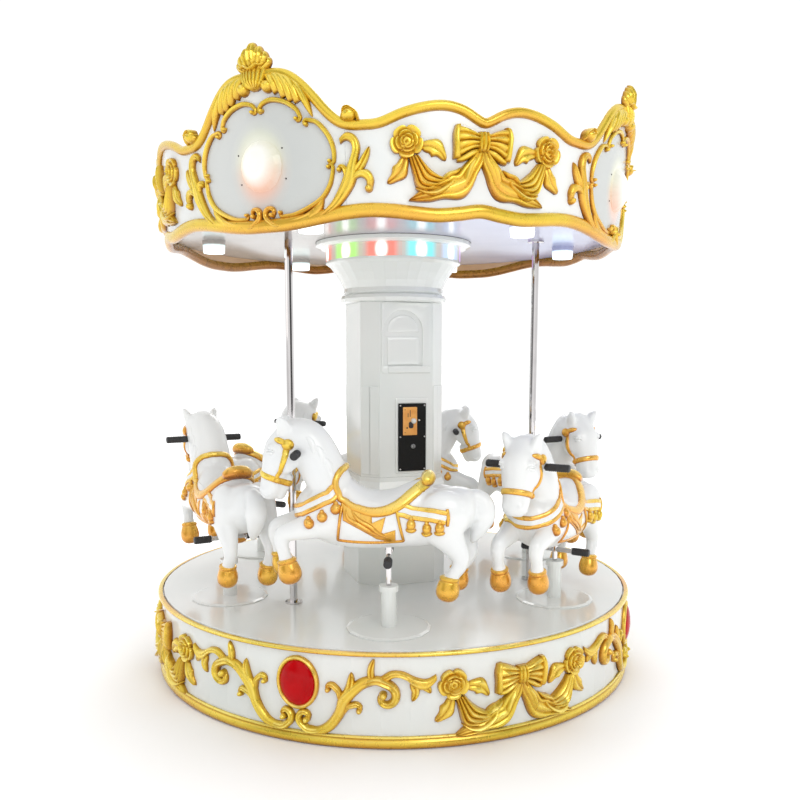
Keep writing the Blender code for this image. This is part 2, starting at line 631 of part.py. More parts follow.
def main():
    for old in list(bpy.data.objects):
        bpy.data.objects.remove(old)
    white = material("white gelcoat", (0.84, 0.86, 0.85), 0.22)
    gold = material("gold paint", (0.72, 0.45, 0.07), 0.30, 0.6)
    chrome = material("polished steel", (0.75, 0.76, 0.78), 0.12, 1.0)
    black = material("black plastic", (0.02, 0.02, 0.022), 0.45)
    light = material("light band", (0.95, 0.75, 0.70), 0.35)
    lamp_glass = material("lamp glass", (1.0, 0.90, 0.75), 0.25)
    make_base(white, gold)
    make_deck(white)
    make_column(white, light)
    make_coin_panel(black)
    make_poles(chrome)
    make_canopy(white, lamp_glass)
    make_garlands(gold)
    make_horses(white, chrome, black)


main()
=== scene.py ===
# %% [markdown]
# # A six-horse fairground carousel
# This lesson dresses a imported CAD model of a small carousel: a round base, a turning deck with a column, a
# scalloped canopy, and six moulded horses with painted saddlery.
#
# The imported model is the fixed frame. It has the true sizes and it moves, so it is loaded first and never
# changed. Every new piece is made round it, in metres, and rides on one of its bodies.

# %% Load the fixed frame
import math

import bpy
import numpy as np
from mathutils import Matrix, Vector


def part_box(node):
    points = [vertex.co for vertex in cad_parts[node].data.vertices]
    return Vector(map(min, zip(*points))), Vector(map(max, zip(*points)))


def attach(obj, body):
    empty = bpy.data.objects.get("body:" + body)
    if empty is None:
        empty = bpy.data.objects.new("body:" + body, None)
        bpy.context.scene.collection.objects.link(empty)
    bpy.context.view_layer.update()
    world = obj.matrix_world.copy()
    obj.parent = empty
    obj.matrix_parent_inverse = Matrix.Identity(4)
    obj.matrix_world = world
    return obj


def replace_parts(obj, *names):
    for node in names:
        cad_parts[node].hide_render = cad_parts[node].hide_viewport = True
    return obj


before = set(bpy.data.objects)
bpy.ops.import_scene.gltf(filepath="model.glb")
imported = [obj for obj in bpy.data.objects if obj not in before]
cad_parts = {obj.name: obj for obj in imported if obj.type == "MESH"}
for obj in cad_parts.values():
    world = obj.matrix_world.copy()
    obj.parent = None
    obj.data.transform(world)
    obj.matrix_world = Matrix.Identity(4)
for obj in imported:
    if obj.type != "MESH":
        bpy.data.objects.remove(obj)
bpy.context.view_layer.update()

# %% [markdown]
# ## Shader helpers
# Every finish is a Principled shader with a little pattern on Object coordinates, which are metres on the
# real object. Glass-fibre mouldings are smooth but never perfect: the gloss breathes a little, and light
# shows a faint orange peel. A noise pattern of low strength gives both.

# %% Node helpers
PATCHES, ORANGE_PEEL = 2.3, 160.0


def new_finish(name):
    """A material with its node tree, its Principled shader and its Object coordinates."""
    material = bpy.data.materials.new(name)
    material.use_nodes = True
    tree = material.node_tree
    place = tree.nodes.new("ShaderNodeTexCoord").outputs["Object"]
    return material, tree, tree.nodes["Principled BSDF"], place


def connect(tree, value, socket):
    """Links a node's output to a socket, or sets the socket's constant."""
    if isinstance(value, bpy.types.NodeSocket):
        tree.links.new(value, socket)
    else:
        socket.default_value = value


def feed(tree, shader, values):
    """Fills sockets of the shader by their names."""
    for name, value in values.items():
        connect(tree, value, shader.inputs[name])


def noise(tree, place, scale, detail=4.0):
    node = tree.nodes.new("ShaderNodeTexNoise")
    node.inputs["Scale"].default_value = scale
    node.inputs["Detail"].default_value = detail
    tree.links.new(place, node.inputs["Vector"])
    return node.outputs["Fac"]


def ramp(tree, value, stops):
    """A colour ramp: stops are (place, colour) pairs."""
    node = tree.nodes.new("ShaderNodeValToRGB")
    elements = node.color_ramp.elements
    while len(elements) < len(stops):
        elements.new(0.5)
    for element, (spot, colour) in zip(elements, stops):
        element.position, element.color = spot, (*colour, 1.0)
    tree.links.new(value, node.inputs["Fac"])
    return node.outputs["Color"]


def grey_ramp(tree, value, stops):
    """A ramp of greys: stops are (place, share) pairs."""
    return ramp(tree, value, [(spot, (share,) * 3) for spot, share in stops])


def mottled(tree, pattern, first, second):
    """Two close colours in soft patches, as a noise pattern says."""
    return ramp(tree, pattern, [(0.3, first), (0.7, second)])


def between(tree, value, low, high, from_low=0.0, from_high=1.0):
    """A value carried from one range to another."""
    node = tree.nodes.new("ShaderNodeMapRange")
    for socket, number in zip(("From Min", "From Max", "To Min", "To Max"),
                              (from_low, from_high, low, high)):
        node.inputs[socket].default_value = number
    tree.links.new(value, node.inputs["Value"])
    return node.outputs["Result"]


def maths(tree, operation, *values):
    node = tree.nodes.new("ShaderNodeMath")
    node.operation = operation
    for socket, value in zip(node.inputs, values):
        connect(tree, value, socket)
    return node.outputs["Value"]


def oval(tree, s, t, half_s, half_t):
    """((s / half_s)^2 + (t / half_t)^2)^0.5, which is 1 on an ellipse and less inside it."""
    shares = [maths(tree, "DIVIDE", value, half) for value, half in ((s, half_s), (t, half_t))]
    return maths(tree, "SQRT",
                 maths(tree, "ADD", *(maths(tree, "MULTIPLY", share, share) for share in shares)))


def blend_colours(tree, share, first, second):
    """The first colour where the share is 0 and the second where it is 1. Either may be a node's output."""
    node = tree.nodes.new("ShaderNodeMix")
    node.data_type = "RGBA"
    tree.links.new(share, node.inputs[0])
    for colour, socket in ((first, node.inputs[6]), (second, node.inputs[7])):
        connect(tree, (*colour, 1.0) if isinstance(colour, tuple) else colour, socket)
    return node.outputs[2]


def bump(tree, height, shader, strength, distance=0.001):
    node = tree.nodes.new("ShaderNodeBump")
    node.inputs["Strength"].default_value = strength
    node.inputs["Distance"].default_value = distance
    tree.links.new(height, node.inputs["Height"])
    tree.links.new(node.outputs["Normal"], shader.inputs["Normal"])


# %% [markdown]
# ## Camera and light
# The camera stands where the photographer stood, a little over chest height and four metres from the axis.
# It was found by fitting the ellipses of the base and the places of horses and poles. The lens shift moves
# the picture without bending the uprights, as a view camera does.
#
# A showroom shot has a pale floor and large soft lights, so three big area lights and a bright world are
# enough. Hard lamps would draw sharp shadows that such a picture doesn't have.

# %% Camera
CAMERA_AZIMUTH = math.radians(19.2)
CAMERA_DISTANCE = 3.930
CAMERA_HEIGHT = 1.4157
CAMERA_PITCH = math.radians(7.09)
LENS, SENSOR_WIDTH = 37.31, 36.0
SHIFT_RIGHT, SHIFT_UP = 0.0085, 0.0713

camera_data = bpy.data.cameras.new("camera")
camera = bpy.data.objects.new("camera", camera_data)
bpy.context.scene.collection.objects.link(camera)
camera.location = (
    CAMERA_DISTANCE * math.sin(CAMERA_AZIMUTH),
    -CAMERA_DISTANCE * math.cos(CAMERA_AZIMUTH),
    CAMERA_HEIGHT,
)
camera.rotation_euler = (math.pi / 2 - CAMERA_PITCH, 0.0, CAMERA_AZIMUTH)
camera_data.lens, camera_data.sensor_width = LENS, SENSOR_WIDTH
camera_data.shift_x, camera_data.shift_y = SHIFT_RIGHT, SHIFT_UP
camera_data.clip_start, camera_data.clip_end = 0.05, 60.0
bpy.context.scene.camera = camera


# %% World and area lights
def area_light(name, place, target, size, power, colour):
    data = bpy.data.lights.new(name, "AREA")
    data.shape, data.size, data.energy, data.color = "DISK", size, power, colour
    lamp = bpy.data.objects.new(name, data)
    bpy.context.scene.collection.objects.link(lamp)
    lamp.location = place
    lamp.rotation_euler = (Vector(target) - Vector(place)).to_track_quat("-Z", "Y").to_euler()


def part_along(tree, direction, axis):
    """How much of a direction lies along an axis."""
    node = tree.nodes.new("ShaderNodeVectorMath")
    node.operation = "DOT_PRODUCT"
    node.inputs[1].default_value = axis
    tree.links.new(direction, node.inputs[0])
    return node.outputs["Value"]


def studio_world(strength, left_screen, right_screen):
    """White for the camera. What falls on the object is white too, but with two tall grey screens beside the
    camera, so that chrome and gloss have something to mirror. How far a direction points sideways picks
    white or a screen's grey, and only on the camera's side."""
    world = bpy.data.worlds.new("studio")
    bpy.context.scene.world = world
    world.use_nodes = True
    tree = world.node_tree
    direction = tree.nodes.new("ShaderNodeTexCoord").outputs["Generated"]
    cosine, sine = math.cos(CAMERA_AZIMUTH), math.sin(CAMERA_AZIMUTH)
    aside = between(tree, part_along(tree, direction, (cosine, sine, 0.0)), 0.0, 1.0, -1.0, 1.0)
    front = between(tree, part_along(tree, direction, (sine, -cosine, 0.0)), 0.0, 1.0, -0.15, 0.10)
    screens = grey_ramp(tree, aside, [
        (0.0, 1.0), (0.06, left_screen), (0.18, left_screen), (0.26, 1.0),
        (0.62, 1.0), (0.70, right_screen), (0.86, right_screen), (0.95, 1.0),
    ])
    rays = tree.nodes.new("ShaderNodeLightPath")
    unseen = maths(tree, "SUBTRACT", front, rays.outputs["Is Camera Ray"])
    unseen.node.use_clamp = True
    background = tree.nodes["Background"]
    tree.links.new(blend_colours(tree, unseen, (1.0, 1.0, 1.0), screens), background.inputs["Color"])
    background.inputs["Strength"].default_value = strength


studio_world(1.08, left_screen=0.25, right_screen=0.10)
bpy.context.scene.view_settings.view_transform = "Standard"
area_light("key", (3.6, -3.6, 3.6), (0.0, 0.0, 1.1), 2.6, 68.0, (1.0, 0.99, 0.96))
area_light("fill", (-4.6, -3.4, 3.0), (0.0, 0.0, 1.0), 3.0, 18.0, (1.0, 0.96, 0.92))
area_light("back", (-1.0, 5.0, 4.4), (0.0, 0.0, 1.2), 3.0, 60.0, (1.0, 1.0, 1.0))


# %% [markdown]
# ## White gelcoat
# The base, the column and the horses are sprayed white glass fibre. The colour is a cool white that turns a
# trace warmer in places, with a clear coat over it.

# %% White gelcoats
def gelcoat(name, cool, warm, rough=(0.16, 0.26), coat=0.5):
    material, tree, shader, place = new_finish(name)
    feed(tree, shader, {
        "Base Color": mottled(tree, noise(tree, place, PATCHES), cool, warm),
        "Roughness": between(tree, noise(tree, place, 9.0), *rough),
        "Coat Weight": coat,
        "Coat Roughness": 0.08,
    })
    bump(tree, noise(tree, place, ORANGE_PEEL, 2.0), shader, 0.05)
    return material


WHITE = gelcoat("white gelcoat finish", (0.72, 0.76, 0.74), (0.78, 0.79, 0.77))
HORSE_WHITE = gelcoat("horse gelcoat finish", (0.77, 0.79, 0.80), (0.82, 0.83, 0.82), (0.24, 0.36), 0.3)


# %% [markdown]
# ## Gold paint
# The ornament is cast relief, painted gold. Its ridges are coloured bright yellow gold and its hollows brown,
# and that brown is painted shade. Each carved point carries a number called relief, 0 at the foot and 1 on
# the ridge, and a colour ramp turns it into the painted shade. Light alone can't do this, because the hollows
# are only a few millimetres deep.

# %% Gold paints
# Both ramps run from dark brown, the painted shade of the hollows, to bright yellow, the painted highlight of
# the ridges.
YELLOW_GOLD = [
    (0.00, (0.10, 0.030, 0.006)), (0.14, (0.34, 0.140, 0.012)), (0.42, (0.57, 0.325, 0.018)),
    (0.75, (0.80, 0.590, 0.050)), (1.00, (0.95, 0.810, 0.220)),
]
ORANGE_GOLD = [
    (0.00, (0.09, 0.024, 0.006)), (0.14, (0.30, 0.090, 0.012)), (0.42, (0.60, 0.230, 0.026)),
    (0.75, (0.76, 0.380, 0.045)), (1.00, (0.90, 0.600, 0.150)),
]


def gold_paint(name, orange_from, orange_full):
    """Gold paint with painted light. Relief, a brushed noise and how far the surface looks up are added, and
    the sum runs through two ramps, a yellow one and an orange one. Low relief gives painted shade in the
    hollows; faces that look up get a painted highlight and faces that look down painted shade. A broad noise
    mixes the ramps: it is yellow where the noise is under orange_from and orange where it is over
    orange_full."""
    material, tree, shader, place = new_finish(name)
    brush = noise(tree, place, 30.0, 2.0)
    relief = tree.nodes.new("ShaderNodeAttribute")
    relief.attribute_name = "relief"
    surface = tree.nodes.new("ShaderNodeNewGeometry")
    facing = tree.nodes.new("ShaderNodeSeparateXYZ")
    tree.links.new(surface.outputs["Normal"], facing.inputs["Vector"])
    # Painted shade and highlight: low relief and downward faces darken, upward faces lighten.
    height = maths(tree, "MULTIPLY_ADD", relief.outputs["Fac"], 0.72, 0.02)
    height = maths(tree, "MULTIPLY_ADD", facing.outputs["Z"], 0.24, height)
    height = maths(tree, "MULTIPLY_ADD", brush, 0.12, height)
    orange = between(tree, noise(tree, place, 2.2, 2.0), 0.0, 1.0, orange_from, orange_full)
    feed(tree, shader, {
        "Base Color": blend_colours(tree, orange, ramp(tree, height, YELLOW_GOLD),
                                    ramp(tree, height, ORANGE_GOLD)),
        "Roughness": between(tree, brush, 0.20, 0.36),
        "Metallic": 0.55,
        "Coat Weight": 0.35,
        "Coat Roughness": 0.12,
    })
    bump(tree, noise(tree, place, 120.0, 1.0), shader, 0.03)
    return material


GOLD = gold_paint("gold with painted shade and highlights", 0.48, 0.74)
TACK_PAINT = gold_paint("saddlery gold paint", 0.28, 0.56)


# %% [markdown]
# ## Bright and dark finishes
# The poles are polished steel tube, the grips are black rubber, and the coin panel is a black powder-coated
# plate. The cabochons are red acrylic with a painted back: a strong red with a weak gloss keeps its depth
# where a clear coat would mirror the white studio.

# %% Steel, rubber, panel and jewel
def plain_finish(name, colours, rough, metallic=0.0, coat=0.0, scale=60.0, grain=0.1, specular=0.5):
    """A finish with a fine pattern: two colours, two roughness values and a small grain."""
    material, tree, shader, place = new_finish(name)
    pattern = noise(tree, place, scale)
    feed(tree, shader, {
        "Base Color": mottled(tree, pattern, *colours),
        "Roughness": between(tree, pattern, *rough),
        "Metallic": metallic,
        "Coat Weight": coat,
        "Specular IOR Level": specular,
    })
    bump(tree, noise(tree, place, scale * 6, 2.0), shader, grain, 0.0005)
    return material


STEEL = plain_finish(
    "polished steel finish", [(0.60, 0.58, 0.58), (0.68, 0.66, 0.66)], (0.05, 0.09), metallic=1.0,
    scale=12.0, grain=0.0)
RUBBER = plain_finish(
    "black rubber finish", [(0.012, 0.012, 0.013), (0.025, 0.025, 0.027)], (0.42, 0.60), scale=90.0)
PANEL = plain_finish(
    "black panel finish", [(0.004, 0.004, 0.004), (0.008, 0.008, 0.008)], (0.35, 0.48), scale=140.0,
    specular=0.20)
JEWEL = plain_finish(
    "red acrylic finish", [(0.42, 0.001, 0.003), (0.54, 0.003, 0.006)], (0.10, 0.18), scale=14.0,
    grain=0.02, specular=0.14)
COIN_PLATE = plain_finish(
    "coin plate finish", [(0.72, 0.30, 0.06), (0.84, 0.42, 0.11)], (0.30, 0.45), 0.2, 0.2, 30.0, 0.05)
ZINC = plain_finish("zinc screw finish", [(0.52, 0.52, 0.52), (0.70, 0.70, 0.69)], (0.22, 0.38), 0.9,
                    scale=180.0)
DARK = plain_finish(
    "dark fitting finish", [(0.020, 0.018, 0.018), (0.045, 0.040, 0.040)], (0.35, 0.55), 0.3, scale=120.0)


# %% [markdown]
# ## Panels, ceiling and lamps
# The valance panels are white outside and tan gold inside, so one material asks how far each point is from
# the cone of the outer face. The ceiling is satin, so that it only hints at what is below it. The light band
# holds a row of coloured lamps behind a strip, so its colour goes round with the angle, with a white hot spot
# at every lamp.

# %% Places on the canopy
VALANCE_RADIUS, VALANCE_FOOT, VALANCE_FLARE, VALANCE_THICK = 1.001, 1.846, 0.076, 0.014
CANOPY_TURN = -8.0
PAPER_RADIUS = 1.02
QUARTER = PAPER_RADIUS * math.pi / 2
LAMP_HEIGHT = 2.070


def split_place(tree, place):
    node = tree.nodes.new("ShaderNodeSeparateXYZ")
    tree.links.new(place, node.inputs["Vector"])
    return node.outputs["X"], node.outputs["Y"], node.outputs["Z"]


def distance_from_axis(tree, x, y):
    return maths(tree, "SQRT", maths(tree, "MULTIPLY_ADD", x, x, maths(tree, "MULTIPLY", y, y)))


def angle_steps(tree, x, y, step):
    """The angle about Z from the front, which is -Y, towards +X, counted in steps."""
    return maths(tree, "DIVIDE", maths(tree, "ARCTAN2", x, maths(tree, "MULTIPLY", y, -1.0)), step)


def from_lamp(tree, x, y, z):
    """How far a point lies right of and above the nearest cartouche lamp. The angle in quarter turns, moved
    so that each lamp stands at a half, has a fraction. Less that half, it goes from -0.5 to 0.5, and a
    quarter of the way round the canopy turns it into metres."""
    quarters = maths(tree, "ADD", angle_steps(tree, x, y, math.pi / 2), 4.5 - CANOPY_TURN / 90.0)
    aside = maths(tree, "MULTIPLY", maths(tree, "SUBTRACT", maths(tree, "FRACT", quarters), 0.5), QUARTER)
    return aside, maths(tree, "SUBTRACT", z, LAMP_HEIGHT)


# %% The lamp's glow
GLOW_HALF, GLOW_HIGH, GLOW_LEFT, GLOW_DOWN = 0.192, 0.228, 0.006, 0.002
GLOW_TINTS = [
    (0.05, (1.0, 0.46, 0.28)), (0.40, (1.0, 0.66, 0.42)), (0.62, (1.0, 0.93, 0.62)),
    (1.0, (0.98, 1.0, 0.66)),
]
GLOW_FADE = [(0.0, 1.0), (0.26, 0.86), (0.42, 0.52), (0.50, 0.30), (0.60, 0.08), (0.72, 0.0)]


def warm_glow(tree, x, y, z, shader, base, outer=1.0):
    """The lamp's glow, on its glass and on the field round it: white hot a little above the middle, pale
    yellow above that, peach at the foot, and gone where ((s / a)^2 + (t / b)^2)^0.5 reaches 0.72. Where it
    glows the base colour darkens by the same share, so that the tint isn't washed out. outer is 1 on the
    face that glows and 0 behind it."""
    aside, above = from_lamp(tree, x, y, z)
    away = oval(
        tree, maths(tree, "ADD", aside, GLOW_LEFT), maths(tree, "ADD", above, GLOW_DOWN), GLOW_HALF,
        GLOW_HIGH)
    tint = ramp(tree, between(tree, above, 0.0, 1.0, -0.10, 0.10), GLOW_TINTS)
    lifted = maths(tree, "SUBTRACT", away, maths(tree, "MULTIPLY", above, 0.9))
    heart = between(tree, lifted, 1.0, 0.0, 0.22, 0.42)
    fade = maths(tree, "MULTIPLY", grey_ramp(tree, away, GLOW_FADE), outer)
    feed(tree, shader, {
        "Emission Color": blend_colours(tree, heart, tint, (1.0, 0.99, 0.94)),
        "Emission Strength": fade,
        "Base Color": blend_colours(tree, fade, base, (0.03, 0.03, 0.03)),
    })


# %% Valance finish, white outside and tan inside
FIELD_HALF, FIELD_UP, FIELD_DOWN, FIELD_GREY = 0.283, 0.205, 0.185, (0.54, 0.56, 0.55)


def valance_finish():
    """White with a grey field round each lamp, and tan on the inner side. The field ends where
    ((s / a)^2 + (t / b)^2)^0.5 passes 1, and b is larger above the lamp than below it."""
    material, tree, shader, place = new_finish("valance finish")
    x, y, z = split_place(tree, place)
    cone = maths(tree, "MULTIPLY_ADD", z, VALANCE_FLARE, VALANCE_RADIUS - VALANCE_FLARE * VALANCE_FOOT)
    beyond = maths(tree, "SUBTRACT", distance_from_axis(tree, x, y), cone)
    outer = between(tree, beyond, 0.0, 1.0, -0.6 * VALANCE_THICK, -0.5 * VALANCE_THICK)
    aside, above = from_lamp(tree, x, y, z)
    tall = between(tree, above, FIELD_DOWN, FIELD_UP, -0.001, 0.001)
    field = between(tree, oval(tree, aside, above, FIELD_HALF, tall), 1.0, 0.0, 1.00, 1.05)
    wide = noise(tree, place, PATCHES)
    white = blend_colours(tree, field, mottled(tree, wide, (0.70, 0.73, 0.73), (0.78, 0.79, 0.78)),
                          FIELD_GREY)
    tan = mottled(tree, wide, (0.62, 0.36, 0.18), (0.78, 0.55, 0.36))
    warm_glow(tree, x, y, z, shader, blend_colours(tree, outer, tan, white), outer)
    feed(tree, shader, {"Roughness": between(tree, wide, 0.18, 0.30), "Coat Weight": 0.4})
    bump(tree, noise(tree, place, ORANGE_PEEL, 2.0), shader, 0.05)
    return material


VALANCE = valance_finish()


# %% Ceiling finish with its six lamps
CEILING = 1.920
COLLAR_TOP, COLLAR_FOOT, GLASS_FOOT = CEILING - 0.016, CEILING - 0.022, CEILING - 0.055


def ceiling_finish():
    """Satin pearl white with painted cool light, which turns it bluer towards +X. Below the ceiling only its
    lamp stubs are left: a white collar, then a glass that glows warm or cool as a broad noise says."""
    material, tree, shader, place = new_finish("ceiling finish")
    x, _, z = split_place(tree, place)
    wide = noise(tree, place, 3.1)
    warm = mottled(tree, wide, (0.40, 0.38, 0.36), (0.47, 0.44, 0.42))
    cool = mottled(tree, wide, (0.42, 0.45, 0.66), (0.47, 0.50, 0.71))
    lamp = between(tree, z, 1.0, 0.0, COLLAR_FOOT, COLLAR_TOP)
    strength = between(tree, z, 2.2, 0.9, GLASS_FOOT, COLLAR_FOOT)
    glow = ramp(tree, noise(tree, place, 1.6), [(0.4, (1.0, 0.84, 0.58)), (0.6, (0.70, 0.95, 1.0))])
    feed(tree, shader, {
        # Painted cool light: the colour turns from the warm white to the cool one towards +X.
        "Base Color": blend_colours(tree, between(tree, x, 0.0, 1.0, -0.1, 0.6), warm, cool),
        "Roughness": between(tree, wide, 0.16, 0.24),
        "Coat Weight": 0.10,
        "Specular IOR Level": 0.22,
        "Emission Color": glow,
        "Emission Strength": maths(tree, "MULTIPLY", lamp, strength),
    })
    return material


CEILING_FINISH = ceiling_finish()


# %% Light band finish
RED, LIME, CYAN = (1.0, 0.16, 0.10), (0.42, 1.0, 0.16), (0.16, 0.92, 1.0)
SKY, VIOLET, PINK = (0.55, 0.74, 1.0), (0.72, 0.38, 1.0), (1.0, 0.28, 0.55)
BAND_LAMPS = [RED, LIME, RED, CYAN, SKY, VIOLET, LIME, PINK, CYAN, SKY, PINK]
BAND_FIRST = 19.2 - 74.9
BAND_RADIUS, BAND_MIDDLE = 0.311, 1.863
BAND_GAP, BAND_LIT = (0.74, 0.66, 0.60), (0.20, 0.19, 0.18)


def light_band_finish():
    """Lamps behind a frosted strip. The angle about Z in lamp steps has a whole part, which picks the
    colour, and a rest, which is the distance from the lamp: white hot, then the colour, then a pale gap."""
    material, tree, shader, place = new_finish("light band finish")
    x, y, z = split_place(tree, place)
    count = len(BAND_LAMPS)
    turns = maths(tree, "ADD", angle_steps(tree, x, y, 2 * math.pi), 1.0 - BAND_FIRST / 360.0 + 0.5 / count)
    turns = maths(tree, "FRACT", turns)
    colour = ramp(tree, turns, [(i / count, lamp_colour) for i, lamp_colour in enumerate(BAND_LAMPS)])
    colour.node.color_ramp.interpolation = "CONSTANT"
    step = maths(tree, "SUBTRACT", maths(tree, "FRACT", maths(tree, "MULTIPLY", turns, count)), 0.5)
    aside = maths(tree, "MULTIPLY", maths(tree, "ABSOLUTE", step), 2 * math.pi * BAND_RADIUS / count)
    above = maths(tree, "MULTIPLY", maths(tree, "SUBTRACT", z, BAND_MIDDLE), 0.65)
    hot = between(tree, distance_from_axis(tree, aside, above), 1.0, 0.0, 0.014, 0.034)
    lit = between(tree, aside, 1.0, 0.0, 0.052, 0.078)
    strength = maths(tree, "MULTIPLY_ADD", lit, 0.85, 0.08)
    feed(tree, shader, {
        "Emission Color": blend_colours(tree, hot, colour, (1.0, 1.0, 0.96)),
        "Emission Strength": maths(tree, "MULTIPLY_ADD", hot, 1.3, strength),
        "Base Color": blend_colours(tree, lit, BAND_GAP, BAND_LIT),
        "Roughness": 0.25,
        "Coat Weight": 0.6,
    })
    return material


BAND = light_band_finish()


# %% Cartouche lamp finish
def lamp_finish():
    """Frosted glass with the same glow as the field round it, so that its edge melts away."""
    material, tree, shader, place = new_finish("lamp glass finish")
    wide = noise(tree, place, PATCHES)
    grey = mottled(tree, wide, (0.52, 0.54, 0.53), (0.56, 0.57, 0.56))
    warm_glow(tree, *split_place(tree, place), shader, grey)
    feed(tree, shader, {"Roughness": 0.32})
    return material


LAMP = lamp_finish()

# %% Give the CAD nodes their finishes
NODE_FINISHES = {
    "base_drum": WHITE, "base_bottom_rim": GOLD, "base_top_rim": GOLD, "deck": WHITE,
    "column_plinth": WHITE, "column_shaft": WHITE, "column_capital": WHITE, "light_band": BAND,
    "canopy_plate": WHITE, "coin_panel": PANEL, "ceiling": CEILING_FINISH, "canopy_pole": STEEL,
    "cartouche_panel": VALANCE, "garland_panel": VALANCE, "cartouche_lamp": LAMP, "horse_post": WHITE,
    "horse_rod": STEEL, "horse_handle": RUBBER, "horse": HORSE_WHITE, "base_garland": GOLD,
    "canopy_garland": GOLD,
}
for node_name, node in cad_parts.items():
    family = node_name.rstrip("0123456789").rstrip("_")
    for material_slot in node.material_slots:
        material_slot.material = NODE_FINISHES[family]
print("finished CAD nodes:", len(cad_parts))

# %% Floor
FLOOR_HALF, FLOOR_DOWN = 14.0, -0.001


def floor_finish():
    """A pale matt floor. Far from the object it glows by itself as much as the white sky behind it, so that
    the horizon doesn't show."""
    material, tree, shader, place = new_finish("pale floor finish")
    x, y, _ = split_place(tree, place)
    cloudy = noise(tree, place, 2.0)
    feed(tree, shader, {
        "Base Color": mottled(tree, cloudy, (0.93, 0.93, 0.93), (0.95, 0.95, 0.95)),
        "Roughness": between(tree, cloudy, 0.55, 0.65),
        "Emission Strength": between(tree, distance_from_axis(tree, x, y), 0.06, 0.6, 1.15, 3.0),
        "Emission Color": (1.0, 1.0, 1.0, 1.0),
    })
    return material


floor_mesh = bpy.data.meshes.new("floor")
floor_corners = [(x * FLOOR_HALF, y * FLOOR_HALF, FLOOR_DOWN) for x,
                 y in ((-1, -1), (1, -1), (1, 1), (-1, 1))]
floor_mesh.from_pydata(floor_corners, [], [(0, 1, 2, 3)])
floor = bpy.data.objects.new("floor", floor_mesh)
bpy.context.scene.collection.objects.link(floor)
floor_mesh.materials.append(floor_finish())


# %% [markdown]
# ## Skins
# All carved pieces are skins over rings: a closed outline is carried along a path, each ring is joined to
# the next, and the two ends are closed by a fan to their own middle. numpy works out all rings at once. The
# signed volume of the finished skin tells whether its faces look outwards, and they are turned if not.

# %% Skins from rings
class Skin:
    """Points, four-sided and three-sided faces, and each point's relief from 0 to 1."""

    def __init__(self, points, quads, tris, relief):
        self.points, self.quads, self.tris, self.relief = points, quads, tris, relief

    def mapped(self, change):
        """The same skin with its points passed through a function of (n, 3) arrays."""
        return Skin(change(self.points), self.quads, self.tris, self.relief)


def tube_skin(rings, relief, closed=False):
    """Quads from ring i to ring i + 1, round each ring, with a fan at both ends unless the path closes."""
    rows, columns = rings.shape[:2]
    index = np.arange(rows * columns).reshape(rows, columns)
    ahead = np.roll(index, -1, axis=0) if closed else index[1:]
    here = index if closed else index[:-1]
    quads = np.stack([here, np.roll(here, -1, 1), np.roll(ahead, -1, 1), ahead], -1).reshape(-1, 4)
    if closed:
        return Skin(rings.reshape(-1, 3), quads, np.zeros((0, 3), int), relief.reshape(-1))
    first, last = index[0], index[-1]
    tris = np.concatenate([
        np.stack([np.roll(first, -1), first, np.full(columns, rows * columns)], -1),
        np.stack([last, np.roll(last, -1), np.full(columns, rows * columns + 1)], -1),
    ])
    points = np.concatenate([rings.reshape(-1, 3), rings[[0, -1]].mean(1)])
    return Skin(points, quads, tris, np.concatenate([relief.reshape(-1), relief[[0, -1]].mean(1)]))


def outward(skin):
    """The skin with its faces turned out: the sum of a . (b x c) over its triangles is the signed volume."""
    triangles = np.concatenate([skin.quads[:, [0, 1, 2]], skin.quads[:, [0, 2, 3]], skin.tris])
    a, b, c = (skin.points[triangles[:, i]] for i in range(3))
    if (a * np.cross(b, c)).sum() < 0:
        skin.quads, skin.tris = skin.quads[:, ::-1], skin.tris[:, ::-1]
    return skin


def joined(skins):
    """Several skins as one, the face numbers moved on by the points before them."""
    starts = np.cumsum([0] + [len(s.points) for s in skins])
    return Skin(
        np.concatenate([s.points for s in skins]),
        np.concatenate([s.quads + start for s, start in zip(skins, starts)]),
        np.concatenate([s.tris + start for s, start in zip(skins, starts)]),
        np.concatenate([s.relief for s in skins]),
    )


TRIANGLES = {"all": 0}


def put(name, skins, material, body, sharp=50.0):
    """Makes one object of the skins, with its relief numbers, on a body."""
    skin = joined([outward(s) for s in skins])
    mesh = bpy.data.meshes.new(name)
    corners = np.concatenate([skin.quads.ravel(), skin.tris.ravel()])
    sizes = np.concatenate([np.full(len(skin.quads), 4), np.full(len(skin.tris), 3)])
    mesh.vertices.add(len(skin.points))
    mesh.vertices.foreach_set("co", skin.points.astype(np.float32).ravel())
    mesh.loops.add(len(corners))
    mesh.loops.foreach_set("vertex_index", corners.astype(np.int32))
    mesh.polygons.add(len(sizes))
    mesh.polygons.foreach_set("loop_start", (np.cumsum(sizes) - sizes).astype(np.int32))
    mesh.update(calc_edges=True)
    mesh.validate()
    relief = mesh.attributes.new("relief", "FLOAT", "POINT")
    relief.data.foreach_set("value", skin.relief.astype(np.float32))
    mesh.shade_smooth()
    mesh.set_sharp_from_angle(angle=math.radians(sharp))
    mesh.materials.append(material)
    made = bpy.data.objects.new(name, mesh)
    bpy.context.scene.collection.objects.link(made)
    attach(made, body)
    TRIANGLES["all"] += 2 * len(skin.quads) + len(skin.tris)
    return made


# %% [markdown]
# ## The carver's strokes
# Nearly all the ornament is made of four forms: a scroll that runs along a line, a drape between two
# lines, a dome, and a leaf. They are worked out on flat paper, where s runs round the object, t runs up and n
# stands out of the surface. Only then are they wrapped on the drum or the valance.

# %% Angles round a circle and smooth lines through points
def circle(count):
    """Evenly spaced angles for one turn, without the last, which is the first again."""
    return np.linspace(0, 2 * math.pi, count, endpoint=False)


